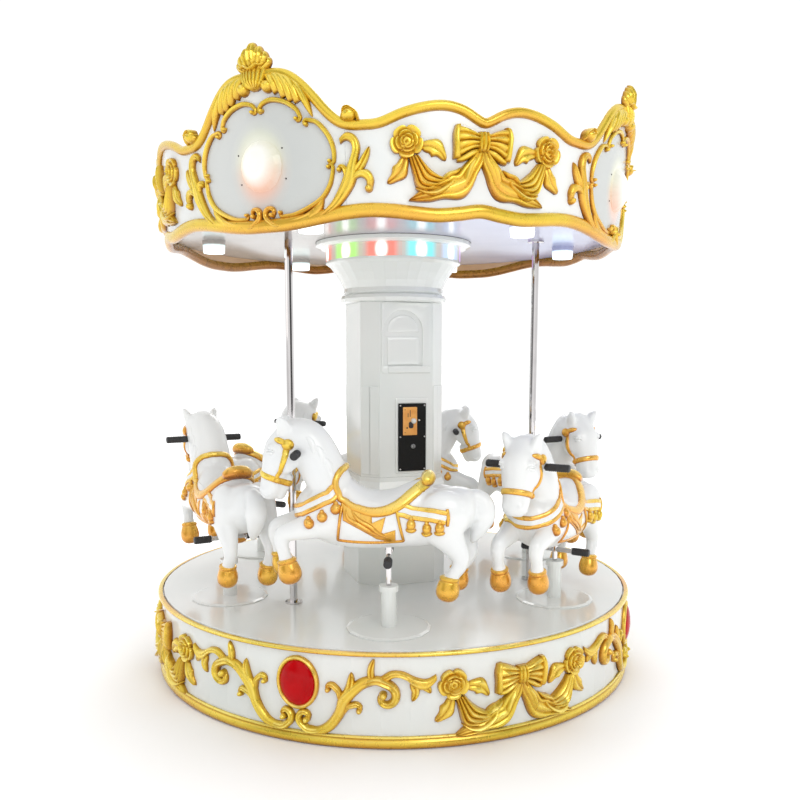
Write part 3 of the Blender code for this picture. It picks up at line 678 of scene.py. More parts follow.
def cubic_steps(points, per_step, closed=False):
    """More points between the given ones, by the cubic in u whose slope at each point is half the step from
    the point before to the point after. An open line goes straight on at its ends."""
    points = np.asarray(points, float)
    if closed:
        points = np.concatenate([points[-1:], points, points[:2]])
    else:
        points = np.concatenate([2 * points[:1] - points[1:2], points, 2 * points[-1:] - points[-2:-1]])
    u = np.linspace(0, 1, per_step, endpoint=False)[None, :, None]
    a, b, c, d = (points[i:len(points) - 3 + i][:, None] for i in range(4))
    line = 0.5 * (2 * b + (c - a) * u + (2 * a - 5 * b + 4 * c - d) * u**2 + (3 * b - a - 3 * c + d) * u**3)
    return np.concatenate([line.reshape(-1, points.shape[1]), points[-2:-1]])


def left_of(line, guard=0.0):
    """The unit direction to the left of a flat line, at each of its points. A guard keeps points that lie on
    each other from dividing by zero."""
    along = np.gradient(line, axis=0)
    along /= np.linalg.norm(along, axis=1, keepdims=True) + guard
    return np.stack([-along[:, 1], along[:, 0]], -1)


def smooth_line(points, count, closed=False):
    """The cubic line through points, spaced evenly by its length."""
    line = cubic_steps(points, 24, closed)
    run = np.concatenate([[0], np.cumsum(np.linalg.norm(np.diff(line, axis=0), axis=1))])
    even = np.linspace(0, run[-1], count + 1 if closed else count)
    even = np.stack([np.interp(even, run, line[:, i]) for i in range(line.shape[1])], -1)
    return even[:-1] if closed else even


def curled(points, radius, sweep, shrink=0.35, step=0.006):
    """The line goes on from its end as a curl: the heading turns evenly through sweep degrees while the
    radius shrinks, and the points are the running sum of the steps."""
    points = np.asarray(points, float)
    heading = math.atan2(*(points[-1] - points[-2])[::-1])
    count = max(6, int(abs(math.radians(sweep)) * radius * 0.7 / step))
    share = (np.arange(count) + 0.5) / count
    radii = radius * (1 - (1 - shrink) * share)
    angles = heading + math.radians(sweep) * (np.cumsum(1 / radii) - 0.5 / radii) / np.sum(1 / radii)
    length = abs(math.radians(sweep)) / np.sum(1 / radii)
    steps = np.stack([np.cos(angles), np.sin(angles)], -1) * length
    return np.concatenate([points, points[-1] + np.cumsum(steps, 0)])


# %% Drape, scroll, dome and leaf
GROUND = 0.0015


def drape(edge_a, edge_b, height, across=11, groove=0.0, pleats=0, lean=0.0, ends=0.35, power=2.0, cup=0.0):
    """A raised band between two edge lines. Across it x runs from -1 to 1 and the rise is
    (1 - |x|^power)^0.5, less a groove exp(-(x/0.3)2) in the middle. Pleats are round folds with creases
    between them, |sin|^0.7, cup hollows the side of edge_a, and lean raises one side. The rise falls to
    the share given by ends at both ends."""
    a, b = np.asarray(edge_a, float), np.asarray(edge_b, float)
    x = -np.cos(np.linspace(0, math.pi, across))
    profile = np.clip(1 - np.abs(x) ** power, 0, 1) ** 0.5
    hollow = 1 - cup * (1 - ((x + 1) / 2) ** 2)
    profile *= (1 - groove * np.exp(-((x / 0.3) ** 2))) * (1 + lean * x) * hollow
    if pleats:
        profile *= 0.55 + 0.45 * np.abs(np.sin(math.pi * pleats * (x + 1) / 2)) ** 0.7
    v = np.linspace(0, 1, len(a))
    swell = ends + (1 - ends) * np.clip(np.sin(math.pi * v), 0, 1) ** 0.45
    flat = a[:, None] * (1 - x)[None, :, None] / 2 + b[:, None] * (1 + x)[None, :, None] / 2
    rise = swell[:, None] * profile[None]
    heights = np.broadcast_to(np.asarray(height, float), (len(a),))[:, None]
    rings = np.concatenate([flat, (rise * heights - GROUND)[..., None]], -1)
    return tube_skin(rings, np.clip(rise / max(profile.max(), 1e-6), 0, 1))


def scroll(line, width, height, groove=0.0, across=9, taper=(0.0, 0.0), lean=0.0):
    """A raised stroke along a line: its edges lie half a width to each side, along the line's own normal,
    and narrow to a share of the width at the start and the end as taper says."""
    line = np.asarray(line, float)
    v = np.linspace(0, 1, len(line))
    share = np.minimum(taper[0] + (1 - taper[0]) * np.clip(v / 0.35, 0, 1) ** 0.6,
                       taper[1] + (1 - taper[1]) * np.clip((1 - v) / 0.35, 0, 1) ** 0.6)
    half = left_of(line, 1e-9) * (share * width / 2)[:, None]
    return drape(line - half, line + half, height * share**0.7, across, groove, lean=lean, ends=0.6)


def stroke(points, count, width, height, **more):
    """A scroll along the smooth line through some points."""
    return scroll(smooth_line(points, count), width, height, **more)


def dome(centre, radius_s, radius_t, height, turn=0.0, sides=20, rows=6):
    """A raised oval button: circles that shrink by the cosine while they rise by the sine."""
    up = np.linspace(0, 0.5 * math.pi * 0.97, rows)
    around = circle(sides)
    x = np.cos(up)[:, None] * np.cos(around) * radius_s
    y = np.cos(up)[:, None] * np.sin(around) * radius_t
    cosine, sine = math.cos(math.radians(turn)), math.sin(math.radians(turn))
    n = np.broadcast_to((np.sin(up) * height - GROUND * (np.sin(up) < 0.01))[:, None], x.shape)
    rings = np.stack([centre[0] + x * cosine - y * sine, centre[1] + x * sine + y * cosine, n], -1)
    return tube_skin(rings, np.broadcast_to(0.25 + 0.75 * np.sin(up)[:, None], x.shape))


def leaf(base, tip, width, height, bend=0.15, lobes=3, count=18):
    """A pointed leaf with a vein: its line is bent sideways by a sine, its half width is a sine of the way
    along with a ripple for the lobes, and a groove makes the vein."""
    base, tip = np.asarray(base, float), np.asarray(tip, float)
    v = np.linspace(0, 1, count)
    chord = tip - base
    side = np.array([-chord[1], chord[0]])
    line = base + v[:, None] * chord + np.sin(math.pi * v)[:, None] * side * bend
    blade = 0.10 + 0.90 * np.sin(math.pi * v**0.8) ** 0.8
    half = width / 2 * blade * (1 + 0.13 * np.cos(2 * math.pi * lobes * v))
    half[-1] *= 0.2
    half = left_of(line) * half[:, None]
    return drape(line - half, line + half, height, 11, groove=0.45, ends=0.3)


# %% Wrapping the paper on the object
DRUM_RADIUS = 1.085


def on_drum(middle):
    """s and t become the angle and height on the drum, and n adds to its radius."""
    def change(p):
        angle = math.radians(middle) + p[:, 0] / DRUM_RADIUS
        radius = DRUM_RADIUS + p[:, 2]
        return np.stack([radius * np.sin(angle), -radius * np.cos(angle), p[:, 1]], -1)
    return change


def on_valance(middle):
    """The same on the cone of the valance, whose radius grows with the height."""
    def change(p):
        angle = math.radians(middle) + p[:, 0] / PAPER_RADIUS
        radius = VALANCE_RADIUS + VALANCE_FLARE * (p[:, 1] - VALANCE_FOOT) + p[:, 2]
        return np.stack([radius * np.sin(angle), -radius * np.cos(angle), p[:, 1]], -1)
    return change


def mirrored(skins):
    """The skins on the other side of s = 0."""
    return [s.mapped(lambda p: p * np.array([-1.0, 1.0, 1.0])) for s in skins]


def shifted(skins, s, t, scale=1.0):
    """The skins scaled and moved on the paper."""
    return [
        k.mapped(lambda p: np.stack([p[:, 0] * scale + s, p[:, 1] * scale + t, p[:, 2]],
                                    -1)) for k in skins]


# %% [markdown]
# ## Rose, bow and swag
# Between two cartouches hangs a garland: a rose at each end, a bow in the middle and two cloth swags. A
# carved rose is a ring of overlapping crescents inside another, each ring higher than the last, round a
# small bud. The same garland is used on the canopy and, a little larger, on the base.

# %% Rose
def petal(centre, middle, spread, inner, outer, height):
    """A cupped petal: a band between two arcs about the centre, hollow inside with a proud outer lip."""
    v = np.linspace(-1, 1, 17)
    angles = np.radians(middle + spread / 2 * v)
    point = np.stack([np.cos(angles), np.sin(angles)], -1)
    lip = inner + (outer - inner) * (1 - 0.80 * v**4)
    centre = np.asarray(centre)
    return drape(centre + point * (inner * (1 + 0.08 * v**2))[:, None], centre + point * lip[:, None],
                 height, 11, power=5.0, cup=0.62, ends=0.45)


def rose(centre, radius, height, turn=0.0):
    """Five wide outer petals, four inner, three at the heart and a bud, each ring higher than the last."""
    made = [dome(centre, radius * 0.72, radius * 0.72, height * 0.50)]
    for count, spread, inner, outer, rise, start in (
        (5, 92, 0.42, 1.02, 0.78, 54), (4, 112, 0.24, 0.70, 1.00, 15), (3, 140, 0.10, 0.44, 1.14, 60),
    ):
        made += [
            petal(centre, turn + start + 360 / count * i, spread, radius * inner,
                  radius * (outer - 0.05 * (i % 2)),
                  height * (rise + 0.06 * (i % 2)))
            for i in range(count)
        ]
    made.append(dome(centre, radius * 0.14, radius * 0.10, height * 1.14, 35.0, sides=12, rows=5))
    return made


# %% Bow
def bow():
    """Each loop is a boxy ribbon: a pleated face that narrows to the knot, a rounded turn at its outer side,
    and a smooth lower lip where the ribbon goes back."""
    top = smooth_line([(0.006, 0.024), (0.030, 0.032), (0.056, 0.043), (0.080, 0.050), (0.100, 0.048)], 20)
    low = smooth_line([(0.006, -0.022), (0.030, -0.024), (0.056, -0.036), (0.078, -0.050), (0.097, -0.054)],
                      20)
    loop = [drape(top, low, 0.033, 29, pleats=4, ends=0.62, power=8.0)]
    turn_in = smooth_line([(0.080, 0.053), (0.085, 0.020), (0.083, -0.020), (0.078, -0.058)], 18)
    turn_out = smooth_line([(0.101, 0.051), (0.108, 0.020), (0.106, -0.020), (0.106, -0.060)], 18)
    loop.append(drape(turn_in, turn_out, 0.037, 11, ends=0.6, power=3.0))
    lip = smooth_line([(0.012, -0.024), (0.040, -0.038), (0.070, -0.056), (0.092, -0.062)], 16)
    loop.append(scroll(lip, 0.024, 0.030, taper=(0.4, 0.7)))
    knot = drape(smooth_line([(-0.020, 0.032), (-0.023, 0.0), (-0.019, -0.034)], 14),
                 smooth_line([(0.020, 0.032), (0.023, 0.0), (0.019, -0.034)], 14), 0.043, 25, pleats=3,
                 ends=0.6, power=4.0)
    return loop + mirrored(loop) + [knot]


# %% Swag
def swag():
    """The left cloth. A lower fold runs from the pointed tail along the bottom and up to the knot, the upper
    cloth hangs from the rose over it and ends in a rolled hem, and two thin folds give it depth."""
    low = smooth_line([
        (-0.256, -0.200), (-0.224, -0.203), (-0.180, -0.202), (-0.132, -0.192), (-0.082, -0.192),
        (-0.052, -0.180), (-0.030, -0.150), (-0.014, -0.110), (0.004, -0.070), (0.010, -0.020),
    ], 44)
    top = smooth_line([
        (-0.252, -0.192), (-0.226, -0.170), (-0.196, -0.150), (-0.152, -0.126), (-0.121, -0.106),
        (-0.094, -0.105), (-0.072, -0.080), (-0.046, -0.054), (-0.026, -0.032), (-0.014, -0.018),
    ], 44)
    made = [drape(top, low, 0.030, 25, pleats=3, ends=0.45, power=4.0)]
    upper = smooth_line(
        [(-0.222, -0.050), (-0.195, -0.080), (-0.165, -0.104), (-0.138, -0.117), (-0.112, -0.110)], 26)
    lower = smooth_line(
        [(-0.258, -0.056), (-0.244, -0.112), (-0.226, -0.162), (-0.176, -0.168), (-0.108, -0.140)], 26)
    made.append(drape(upper, lower, 0.036, 25, pleats=4, ends=0.6, power=4.0))
    hem = smooth_line([
        (-0.232, -0.156), (-0.200, -0.172), (-0.166, -0.172), (-0.134, -0.156), (-0.110, -0.134),
        (-0.099, -0.108),
    ], 26)
    made.append(scroll(hem, 0.022, 0.041, taper=(0.3, 0.5), lean=-0.3))
    crest = smooth_line(
        [(-0.152, -0.140), (-0.136, -0.124), (-0.118, -0.110), (-0.096, -0.102), (-0.076, -0.086)], 18)
    made.append(scroll(crest, 0.020, 0.040, taper=(0.3, 0.3)))
    rib = smooth_line([(-0.066, -0.162), (-0.060, -0.124), (-0.046, -0.086), (-0.020, -0.048)], 20)
    made.append(scroll(rib, 0.026, 0.036, taper=(0.3, 0.5)))
    return made


def garland():
    """Bow, two swags, and at each end a rose with two leaves, about the knot as origin."""
    side = swag() + rose((-0.264, -0.008), 0.057, 0.036)
    side += [leaf((-0.216, -0.022), (-0.130, -0.066), 0.058, 0.024, bend=0.20, lobes=2)]
    side += [leaf((-0.268, -0.054), (-0.330, -0.142), 0.054, 0.024, bend=0.12, lobes=2)]
    return side + mirrored(side) + bow()


GARLAND = garland()
GARLAND_SHIFT = -0.008
for k in range(4):
    middle = CANOPY_TURN + 45 + 90 * k
    carving = [s.mapped(on_valance(middle)) for s in shifted(GARLAND, GARLAND_SHIFT, 2.133)]
    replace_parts(put(f"canopy_carving_{k + 1}", carving, GOLD, "ride"),
                f"canopy_garland_{k + 1}")
    carving = [s.mapped(on_drum(45 + 90 * k)) for s in shifted(GARLAND, GARLAND_SHIFT + 0.006, 0.244, 1.02)]
    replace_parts(put(f"base_carving_{k + 1}", carving, GOLD, "base"), f"base_garland_{k + 1}")
print("garland triangles", TRIANGLES["all"])

# %% [markdown]
# ## Base scrollwork
# On each side of a cabochon an acanthus scroll rises from a small volute under the stone, throws a large
# curl, and ends in a spray of leaves near the garland. The lines were read off the photograph as a few
# points in metres on the drum, and the strokes give them their body.

# %% Volute
def volute(line, width, height, radius, sweep, ball=0.45, groove=0.25, shrink=0.35, taper=0.35):
    """A scroll whose end curls up round a small ball."""
    line = curled(line, radius, sweep, shrink)
    even = smooth_line(line[:: max(1, len(line) // 22)], 8 + int(len(line) * 0.8))
    return [scroll(even, width, height, groove, taper=(taper, 0.55)),
            dome(even[-1], width * ball, width * ball, height * 1.2, sides=12, rows=4)]


# %% Scrollwork of the base
def base_scrollwork():
    """One side: the stem swells up to its fork, and everything else grows out of it."""
    stem_in = smooth_line([(0.054, 0.070), (0.088, 0.070), (0.124, 0.096), (0.152, 0.140), (0.166, 0.192),
                           (0.196, 0.226), (0.244, 0.262), (0.290, 0.275)], 46)
    stem_out = smooth_line([(0.054, 0.044), (0.100, 0.040), (0.146, 0.062), (0.184, 0.112), (0.202, 0.158),
                            (0.226, 0.190), (0.260, 0.222), (0.300, 0.238)], 46)
    made = [drape(stem_in, stem_out, 0.028, 13, groove=0.22, ends=0.45)]
    made += volute([(0.122, 0.078), (0.086, 0.056), (0.050, 0.055), (0.027, 0.072)], 0.030, 0.028, 0.033,
                   -300,
                   shrink=0.30, taper=0.3)
    made += volute([(0.222, 0.212), (0.262, 0.243), (0.304, 0.256), (0.340, 0.244)], 0.036, 0.030, 0.054,
                   -320,
                   shrink=0.26, taper=0.3)
    made += volute([(0.172, 0.176), (0.166, 0.208), (0.150, 0.226)], 0.025, 0.022, 0.020, 190, taper=0.8)
    made += volute([(0.176, 0.120), (0.196, 0.152), (0.222, 0.162)], 0.026, 0.022, 0.022, -170, taper=0.7)
    made.append(leaf((0.186, 0.180), (0.213, 0.284), 0.040, 0.024, bend=-0.08, lobes=1))
    made.append(leaf((0.288, 0.250), (0.296, 0.336), 0.032, 0.022, bend=0.10, lobes=1))
    upper = smooth_line(
        [(0.320, 0.272), (0.356, 0.292), (0.400, 0.290), (0.446, 0.268), (0.484, 0.260), (0.518, 0.276)],
        26)
    lower = smooth_line(
        [(0.338, 0.246), (0.372, 0.268), (0.412, 0.256), (0.446, 0.226), (0.484, 0.220), (0.520, 0.252)],
        26)
    made.append(drape(upper, lower, 0.024, 13, groove=0.25, ends=0.6))
    made.append(leaf((0.428, 0.252), (0.430, 0.178), 0.038, 0.022, bend=0.20, lobes=1))
    made.append(leaf((0.440, 0.250), (0.500, 0.206), 0.040, 0.020, bend=0.12, lobes=1))
    return made


SCROLLWORK = base_scrollwork()
for k in range(4):
    skins = [s.mapped(on_drum(90 * k)) for s in SCROLLWORK + mirrored(SCROLLWORK)]
    put(f"base_scrollwork_{k + 1}", skins, GOLD, "base")


# %% [markdown]
# ## Cabochons
# Each red stone is a low oval dome in a rolled gold frame. The frame is a half-round moulding carried round
# an ellipse, so it is a ring and has no ends to close.

# %% Oval frames and stones
def oval_frame(centre, radius_s, radius_t, width, height, count=64):
    """A closed ring: circles of the moulding's own section carried round an ellipse."""
    around = circle(count)
    section = circle(12)
    out = np.cos(section)[None] * width / 2
    s = centre[0] + (radius_s + out) * np.cos(around)[:, None]
    t = centre[1] + (radius_t + out) * np.sin(around)[:, None]
    n = np.broadcast_to(np.sin(section)[None] * height, s.shape)
    relief = np.broadcast_to(np.clip(0.25 + 0.9 * np.sin(section), 0, 1)[None], s.shape)
    return tube_skin(np.stack([s, t, n], -1), relief, closed=True)


STONE, STONE_HALF, STONE_HIGH, STONE_RISE = (0.009, 0.228), 0.072, 0.089, 0.030
FRAME_OUT, FRAME_WIDTH, FRAME_HEIGHT = 0.0035, 0.018, 0.016
for k in range(4):
    wrap = on_drum(90 * k)
    ring = oval_frame(STONE, STONE_HALF + FRAME_OUT, STONE_HIGH + FRAME_OUT, FRAME_WIDTH, FRAME_HEIGHT)
    put(f"cabochon_frame_{k + 1}", [ring.mapped(wrap)], GOLD, "base")
    stone = dome(STONE, STONE_HALF, STONE_HIGH, STONE_RISE, sides=48, rows=12).mapped(wrap)
    put(f"cabochon_{k + 1}", [stone], JEWEL, "base", sharp=80)

# %% [markdown]
# ## Rims of the base
# The base has two gold mouldings. The lower one is a heavy swell with a thin bead over it, and the upper one
# is a half round under the deck's edge. Turned profiles are the quickest way: a closed outline is carried
# round the vertical axis.

# %% Turned rings
def turned_ring(profile, relief, sides=288, middle=(0.0, 0.0)):
    """A closed outline of (radius, height) pairs carried once round a vertical axis."""
    profile = np.asarray(profile, float)
    angle = circle(sides)[:, None]
    rings = np.stack([
        middle[0] + profile[None, :, 0] * np.cos(angle), middle[1] + profile[None, :, 0] * np.sin(angle),
        np.broadcast_to(profile[None, :, 1], (sides, len(profile))),
    ], -1)
    return tube_skin(rings, np.broadcast_to(np.asarray(relief, float), (sides, len(profile))), closed=True)


BASE_RADIUS = 1.100
RIM_BACK = DRUM_RADIUS + 0.0004
# The third number of each point is its relief, which here is painted shade: low in the groove and on the
# faces that look down, high on the swell and the bead.
FOOT_MOULDING = [
    (RIM_BACK, 0.0005, 0.1), (BASE_RADIUS - 0.007, 0.0005, 0.2), (BASE_RADIUS - 0.0025, 0.004, 0.35),
    (BASE_RADIUS, 0.010, 0.5), (BASE_RADIUS - 0.0002, 0.017, 0.7), (BASE_RADIUS - 0.0015, 0.024, 0.85),
    (BASE_RADIUS - 0.0045, 0.030, 0.8), (BASE_RADIUS - 0.0085, 0.0335, 0.3),
    (BASE_RADIUS - 0.0090, 0.0350, 0.1),
    (BASE_RADIUS - 0.0065, 0.0365, 0.6), (BASE_RADIUS - 0.0055, 0.0395, 1.0),
    (BASE_RADIUS - 0.0065, 0.0430, 1.0),
    (BASE_RADIUS - 0.0095, 0.0455, 0.9), (RIM_BACK, 0.0460, 0.5),
]
profile = [(radius, height) for radius, height, _ in FOOT_MOULDING]
foot_ring = put("base_foot_moulding", [turned_ring(profile, [r for *_, r in FOOT_MOULDING])], GOLD, "base")
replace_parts(foot_ring, "base_bottom_rim")
TOP_BULGE, TOP_BACK, TOP_BEVEL = 0.006, 1.0805, 0.0012
low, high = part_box("base_top_rim")
print("top rim box", [round(v, 4) for v in (*low, *high)])
half = (high[2] - low[2]) / 2
turn = np.linspace(-0.5 * math.pi, 0.5 * math.pi, 9)
edge = np.stack(
    [high[0] - TOP_BULGE + TOP_BULGE * np.cos(turn), low[2] + half + half * 0.92 * np.sin(turn)], -1)
inner = [(TOP_BACK, high[2] - TOP_BEVEL), (TOP_BACK, low[2] + TOP_BEVEL)]
# Relief here is painted light: highest on the upper outer face of the half round, which looks up, and lower
# below it.
relief = np.concatenate([0.45 + 0.55 * np.clip(np.cos(turn - 0.5), 0, 1), [0.4, 0.4]])
top_ring = put("base_top_moulding", [turned_ring(np.concatenate([edge, inner]), relief)], GOLD, "base")
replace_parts(top_ring, "base_top_rim")

# %% [markdown]
# ## Canopy rims
# A thick gold moulding follows the wavy top edge of the canopy and a broader one its foot. Each is one
# closed ring, carried round all four cartouches. Its section is turned with the edge, so that it stays
# equally thick on the steep sides of the crests.

# %% Rims
RIM_TOP = [
    (0.000, 2.372), (0.045, 2.368), (0.085, 2.366), (0.125, 2.354), (0.168, 2.324), (0.215, 2.276),
    (0.258, 2.228),
    (0.297, 2.196), (0.338, 2.183), (0.385, 2.182), (0.440, 2.188), (0.520, 2.220), (0.602, 2.241),
    (0.668, 2.245),
    (0.725, 2.232), (0.770, 2.209), (0.801, 2.197),
]
RIM_FOOT = [
    (0.00, 1.868), (0.08, 1.869), (0.16, 1.877), (0.24, 1.889), (0.32, 1.900), (0.40, 1.906), (0.48, 1.903),
    (0.56, 1.895), (0.64, 1.890), (0.72, 1.897), (0.801, 1.908),
]


def whole_round(half):
    """The half line of one bay, mirrored and repeated round the four bays."""
    back = [(2 * half[-1][0] - s, t) for s, t in half[-2:0:-1]]
    return [(s + QUARTER * k, t) for k in range(4) for s, t in half + back]


def rim(half, half_height, half_depth, set_out, name, count=640, sides=16):
    """A closed ring on the valance: an ellipse in the plane of the edge's own normal and the radius."""
    s, t = np.array(whole_round(half)).T
    places = np.linspace(0, 4 * QUARTER, count, endpoint=False)
    line = np.concatenate([[s - 4 * QUARTER, t], [s, t], [s + 4 * QUARTER, t]], 1)
    grid = smooth_line(line.T, count * 6)
    height = np.interp(places, grid[:, 0], grid[:, 1])
    along = np.stack([np.full(count, places[1]), (np.roll(height, -1) - np.roll(height, 1)) / 2], -1)
    along /= np.linalg.norm(along, axis=1, keepdims=True)
    section = circle(sides)
    up, out = np.sin(section) * half_height, np.cos(section) * half_depth + set_out
    rings = np.stack([
        places[:, None] - along[:, 1:] * up,
        height[:, None] + along[:, :1] * up,
        np.broadcast_to(out, (count, sides)),
    ], -1)
    # Relief here is painted light: highest on the outer face of the moulding and lowest on its inner face.
    relief = np.broadcast_to(0.46 + 0.38 * np.cos(section), (count, sides))
    skin = tube_skin(rings, relief, closed=True).mapped(on_valance(CANOPY_TURN))
    return put(name, [skin], GOLD, "ride", sharp=80)


rim(RIM_TOP, 0.0175, 0.019, -0.002, "canopy_top_rim")
rim(RIM_FOOT, 0.0245, 0.019, -0.003, "canopy_foot_rim")
print("triangles so far", TRIANGLES["all"])


# %% Smooth valance panels
def edge_height(half, s):
    """The height of a wavy edge at places s on the paper: the smooth line through its repeated points."""
    line = np.array([(half[0][0] - QUARTER, half[0][1])] + whole_round(half) + [(4 * QUARTER, half[0][1])])
    fine = smooth_line(line, 4000)
    return np.interp(np.mod(s, QUARTER), fine[:, 0], fine[:, 1])


def valance_panel(middle, half_width, columns, rows=9, edge_set_back=0.002):
    """A curved board between the two edges: at each place round the canopy one closed ring goes up the
    outer face and down the inner one, with bevelled edges."""
    s = np.linspace(-half_width, half_width, columns) + middle
    low, high = edge_height(RIM_FOOT, s)[:, None], edge_height(RIM_TOP, s)[:, None]
    share = np.linspace(0, 1, rows)
    up = np.concatenate([share, share[::-1]])
    depth = np.concatenate([np.zeros(rows), np.full(rows, -VALANCE_THICK)])
    depth[[0, rows - 1]] -= edge_set_back
    depth[[rows, -1]] += edge_set_back
    size = (columns, 2 * rows)
    rings = np.stack([
        np.broadcast_to(s[:, None], size), low + (high - low) * up, np.broadcast_to(depth, size),
    ], -1)
    return tube_skin(rings, np.ones(rings.shape[:2])).mapped(on_valance(CANOPY_TURN))


CARTOUCHE_HALF = 18.0
PANEL_JOINT = 0.0004
for k in range(4):
    for family, half_angle, start in (("cartouche", CARTOUCHE_HALF, 0.0),
                                      ("garland", 45.0 - CARTOUCHE_HALF, 45.0)):
        half_width = math.radians(half_angle) * PAPER_RADIUS - PANEL_JOINT
        skin = valance_panel(math.radians(start + 90 * k) * PAPER_RADIUS, half_width, 65)
        board = put(f"{family}_board_{k + 1}", [skin], VALANCE, "ride")
        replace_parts(board, f"{family}_panel_{k + 1}")


# %% Screws round the cartouche lamps
def screw_head(centre, radius, height):
    """A low domed head with a rounded edge."""
    return dome(centre, radius, radius, height, sides=12, rows=4)


LAMP_SCREWS = [(-0.098, 2.117), (0.090, 2.124), (-0.092, 2.017), (0.100, 2.022)]
for k in range(4):
    wrap = on_valance(CANOPY_TURN + 90 * k)
    put(f"lamp_screws_{k + 1}", [screw_head(place, 0.0034, 0.0024).mapped(wrap) for place in LAMP_SCREWS],
        DARK, "ride")

# %% [markdown]
# ## Cartouches
# Each cartouche has a thin frame of three arcs a side that meet in little curls, two volutes at its foot,
# an acanthus sprig on each side, and a crest of feathers under a shell and a bud.

# %% A stroke that curls at both ends
def double_curl(points, start_sweep, end_sweep, width, height, radius):
    """The line is curled on from its start, turned round, and curled on from its end."""
    line = curled(np.asarray(points)[::-1], radius, start_sweep, 0.5)
    line = curled(line[::-1], radius, end_sweep, 0.5)
    even = smooth_line(line, 64)
    return [scroll(even, width, height, groove=0.15, taper=(0.65, 0.65))] + [
        dome(even[i], width * 0.42, width * 0.42, height * 1.2, sides=12, rows=4) for i in (0, -1)]


# %% Cartouche frame and sprigs
def cartouche_side():
    """Everything right of the middle line: arcs, curls, arm and sprig."""
    made = []
    arcs = [
        ([(0.010, 2.262), (0.026, 2.276), (0.062, 2.283), (0.112, 2.270), (0.150, 2.244), (0.164, 2.220)],
         210, -210),
        ([(0.190, 2.206), (0.220, 2.198), (0.248, 2.172), (0.270, 2.138), (0.281, 2.100), (0.281, 2.070)],
         210, -200),
        ([(0.276, 2.048), (0.275, 2.030), (0.264, 1.990), (0.236, 1.950), (0.186, 1.920), (0.130, 1.900),
          (0.080, 1.896)],
         200, -150),
    ]
    for points, start_sweep, end_sweep in arcs:
        made += double_curl(points, start_sweep, end_sweep, 0.019, 0.018, 0.0105)
    made += volute([(0.086, 1.868), (0.052, 1.866), (0.026, 1.882)], 0.022, 0.024, 0.030, -310, shrink=0.30,
                   taper=0.9)
    arm_in = smooth_line([(0.060, 1.882), (0.120, 1.886), (0.176, 1.904), (0.218, 1.934), (0.240, 1.962)],
                         28)
    arm_out = smooth_line([(0.060, 1.856), (0.126, 1.864), (0.198, 1.880), (0.236, 1.910), (0.246, 1.958)],
                          28)
    made.append(drape(arm_in, arm_out, 0.020, 9, groove=0.2, ends=0.6))
    stem_in = smooth_line([
        (0.214, 1.886), (0.262, 1.928), (0.292, 1.974), (0.312, 2.018), (0.332, 2.066), (0.344, 2.100),
        (0.339, 2.124), (0.322, 2.131), (0.306, 2.120),
    ], 40)
    stem_out = smooth_line([
        (0.236, 1.880), (0.290, 1.912), (0.328, 1.950), (0.358, 2.000), (0.364, 2.060), (0.374, 2.108),
        (0.360, 2.146), (0.328, 2.160), (0.302, 2.142),
    ], 40)
    made.append(drape(stem_in, stem_out, 0.027, 13, groove=0.25, ends=0.6))
    made += volute([(0.326, 2.000), (0.323, 2.022), (0.318, 2.040)], 0.020, 0.022, 0.015, 200, taper=0.7)
    made.append(leaf((0.340, 2.010), (0.404, 2.112), 0.036, 0.024, bend=-0.06, lobes=1))
    curl_in = smooth_line([(0.330, 1.976), (0.350, 2.000), (0.372, 2.011), (0.390, 2.002), (0.392, 1.984)],
                          22)
    curl_out = smooth_line([(0.340, 2.020), (0.366, 2.038), (0.402, 2.036), (0.420, 2.006), (0.416, 1.976)],
                           22)
    made.append(drape(curl_in, curl_out, 0.026, 11, groove=0.2, ends=0.6))
    made.append(dome((0.401, 1.976), 0.015, 0.015, 0.027, sides=14, rows=4))
    return made


# %% Crest feathers, shell and bud
def crest_side():
    """Five feathers fall in a fan from beside the shell, then a long pointed one, a ball, and the curl that
    sits on the rim."""
    made = []
    feathers = [
        ((0.044, 2.366), (0.066, 2.346), (0.086, 2.302)), ((0.060, 2.368), (0.092, 2.342), (0.113, 2.284)),
        ((0.078, 2.366), (0.116, 2.332), (0.138, 2.270)), ((0.096, 2.360), (0.138, 2.322), (0.162, 2.264)),
    ]
    for points in feathers:
        made.append(stroke(points, 22, 0.034, 0.030, taper=(0.55, 0.85)))
    plume = smooth_line([(0.120, 2.350), (0.160, 2.314), (0.184, 2.272), (0.210, 2.214)], 26)
    made.append(scroll(plume, 0.028, 0.028, groove=0.2, taper=(0.6, 0.08)))
    made += volute([(0.034, 2.368), (0.032, 2.346), (0.040, 2.332)], 0.022, 0.032, 0.010, 120, ball=0.3,
                   taper=0.7)
    made.append(dome((0.050, 2.326), 0.024, 0.022, 0.034, sides=18, rows=6))
    made.append(dome((0.336, 2.212), 0.030, 0.024, 0.040, 20.0, sides=20, rows=7))
    made += volute([(0.368, 2.192), (0.362, 2.216), (0.344, 2.230)], 0.016, 0.044, 0.018, 300, ball=0.3,
                   taper=0.6)
    return made


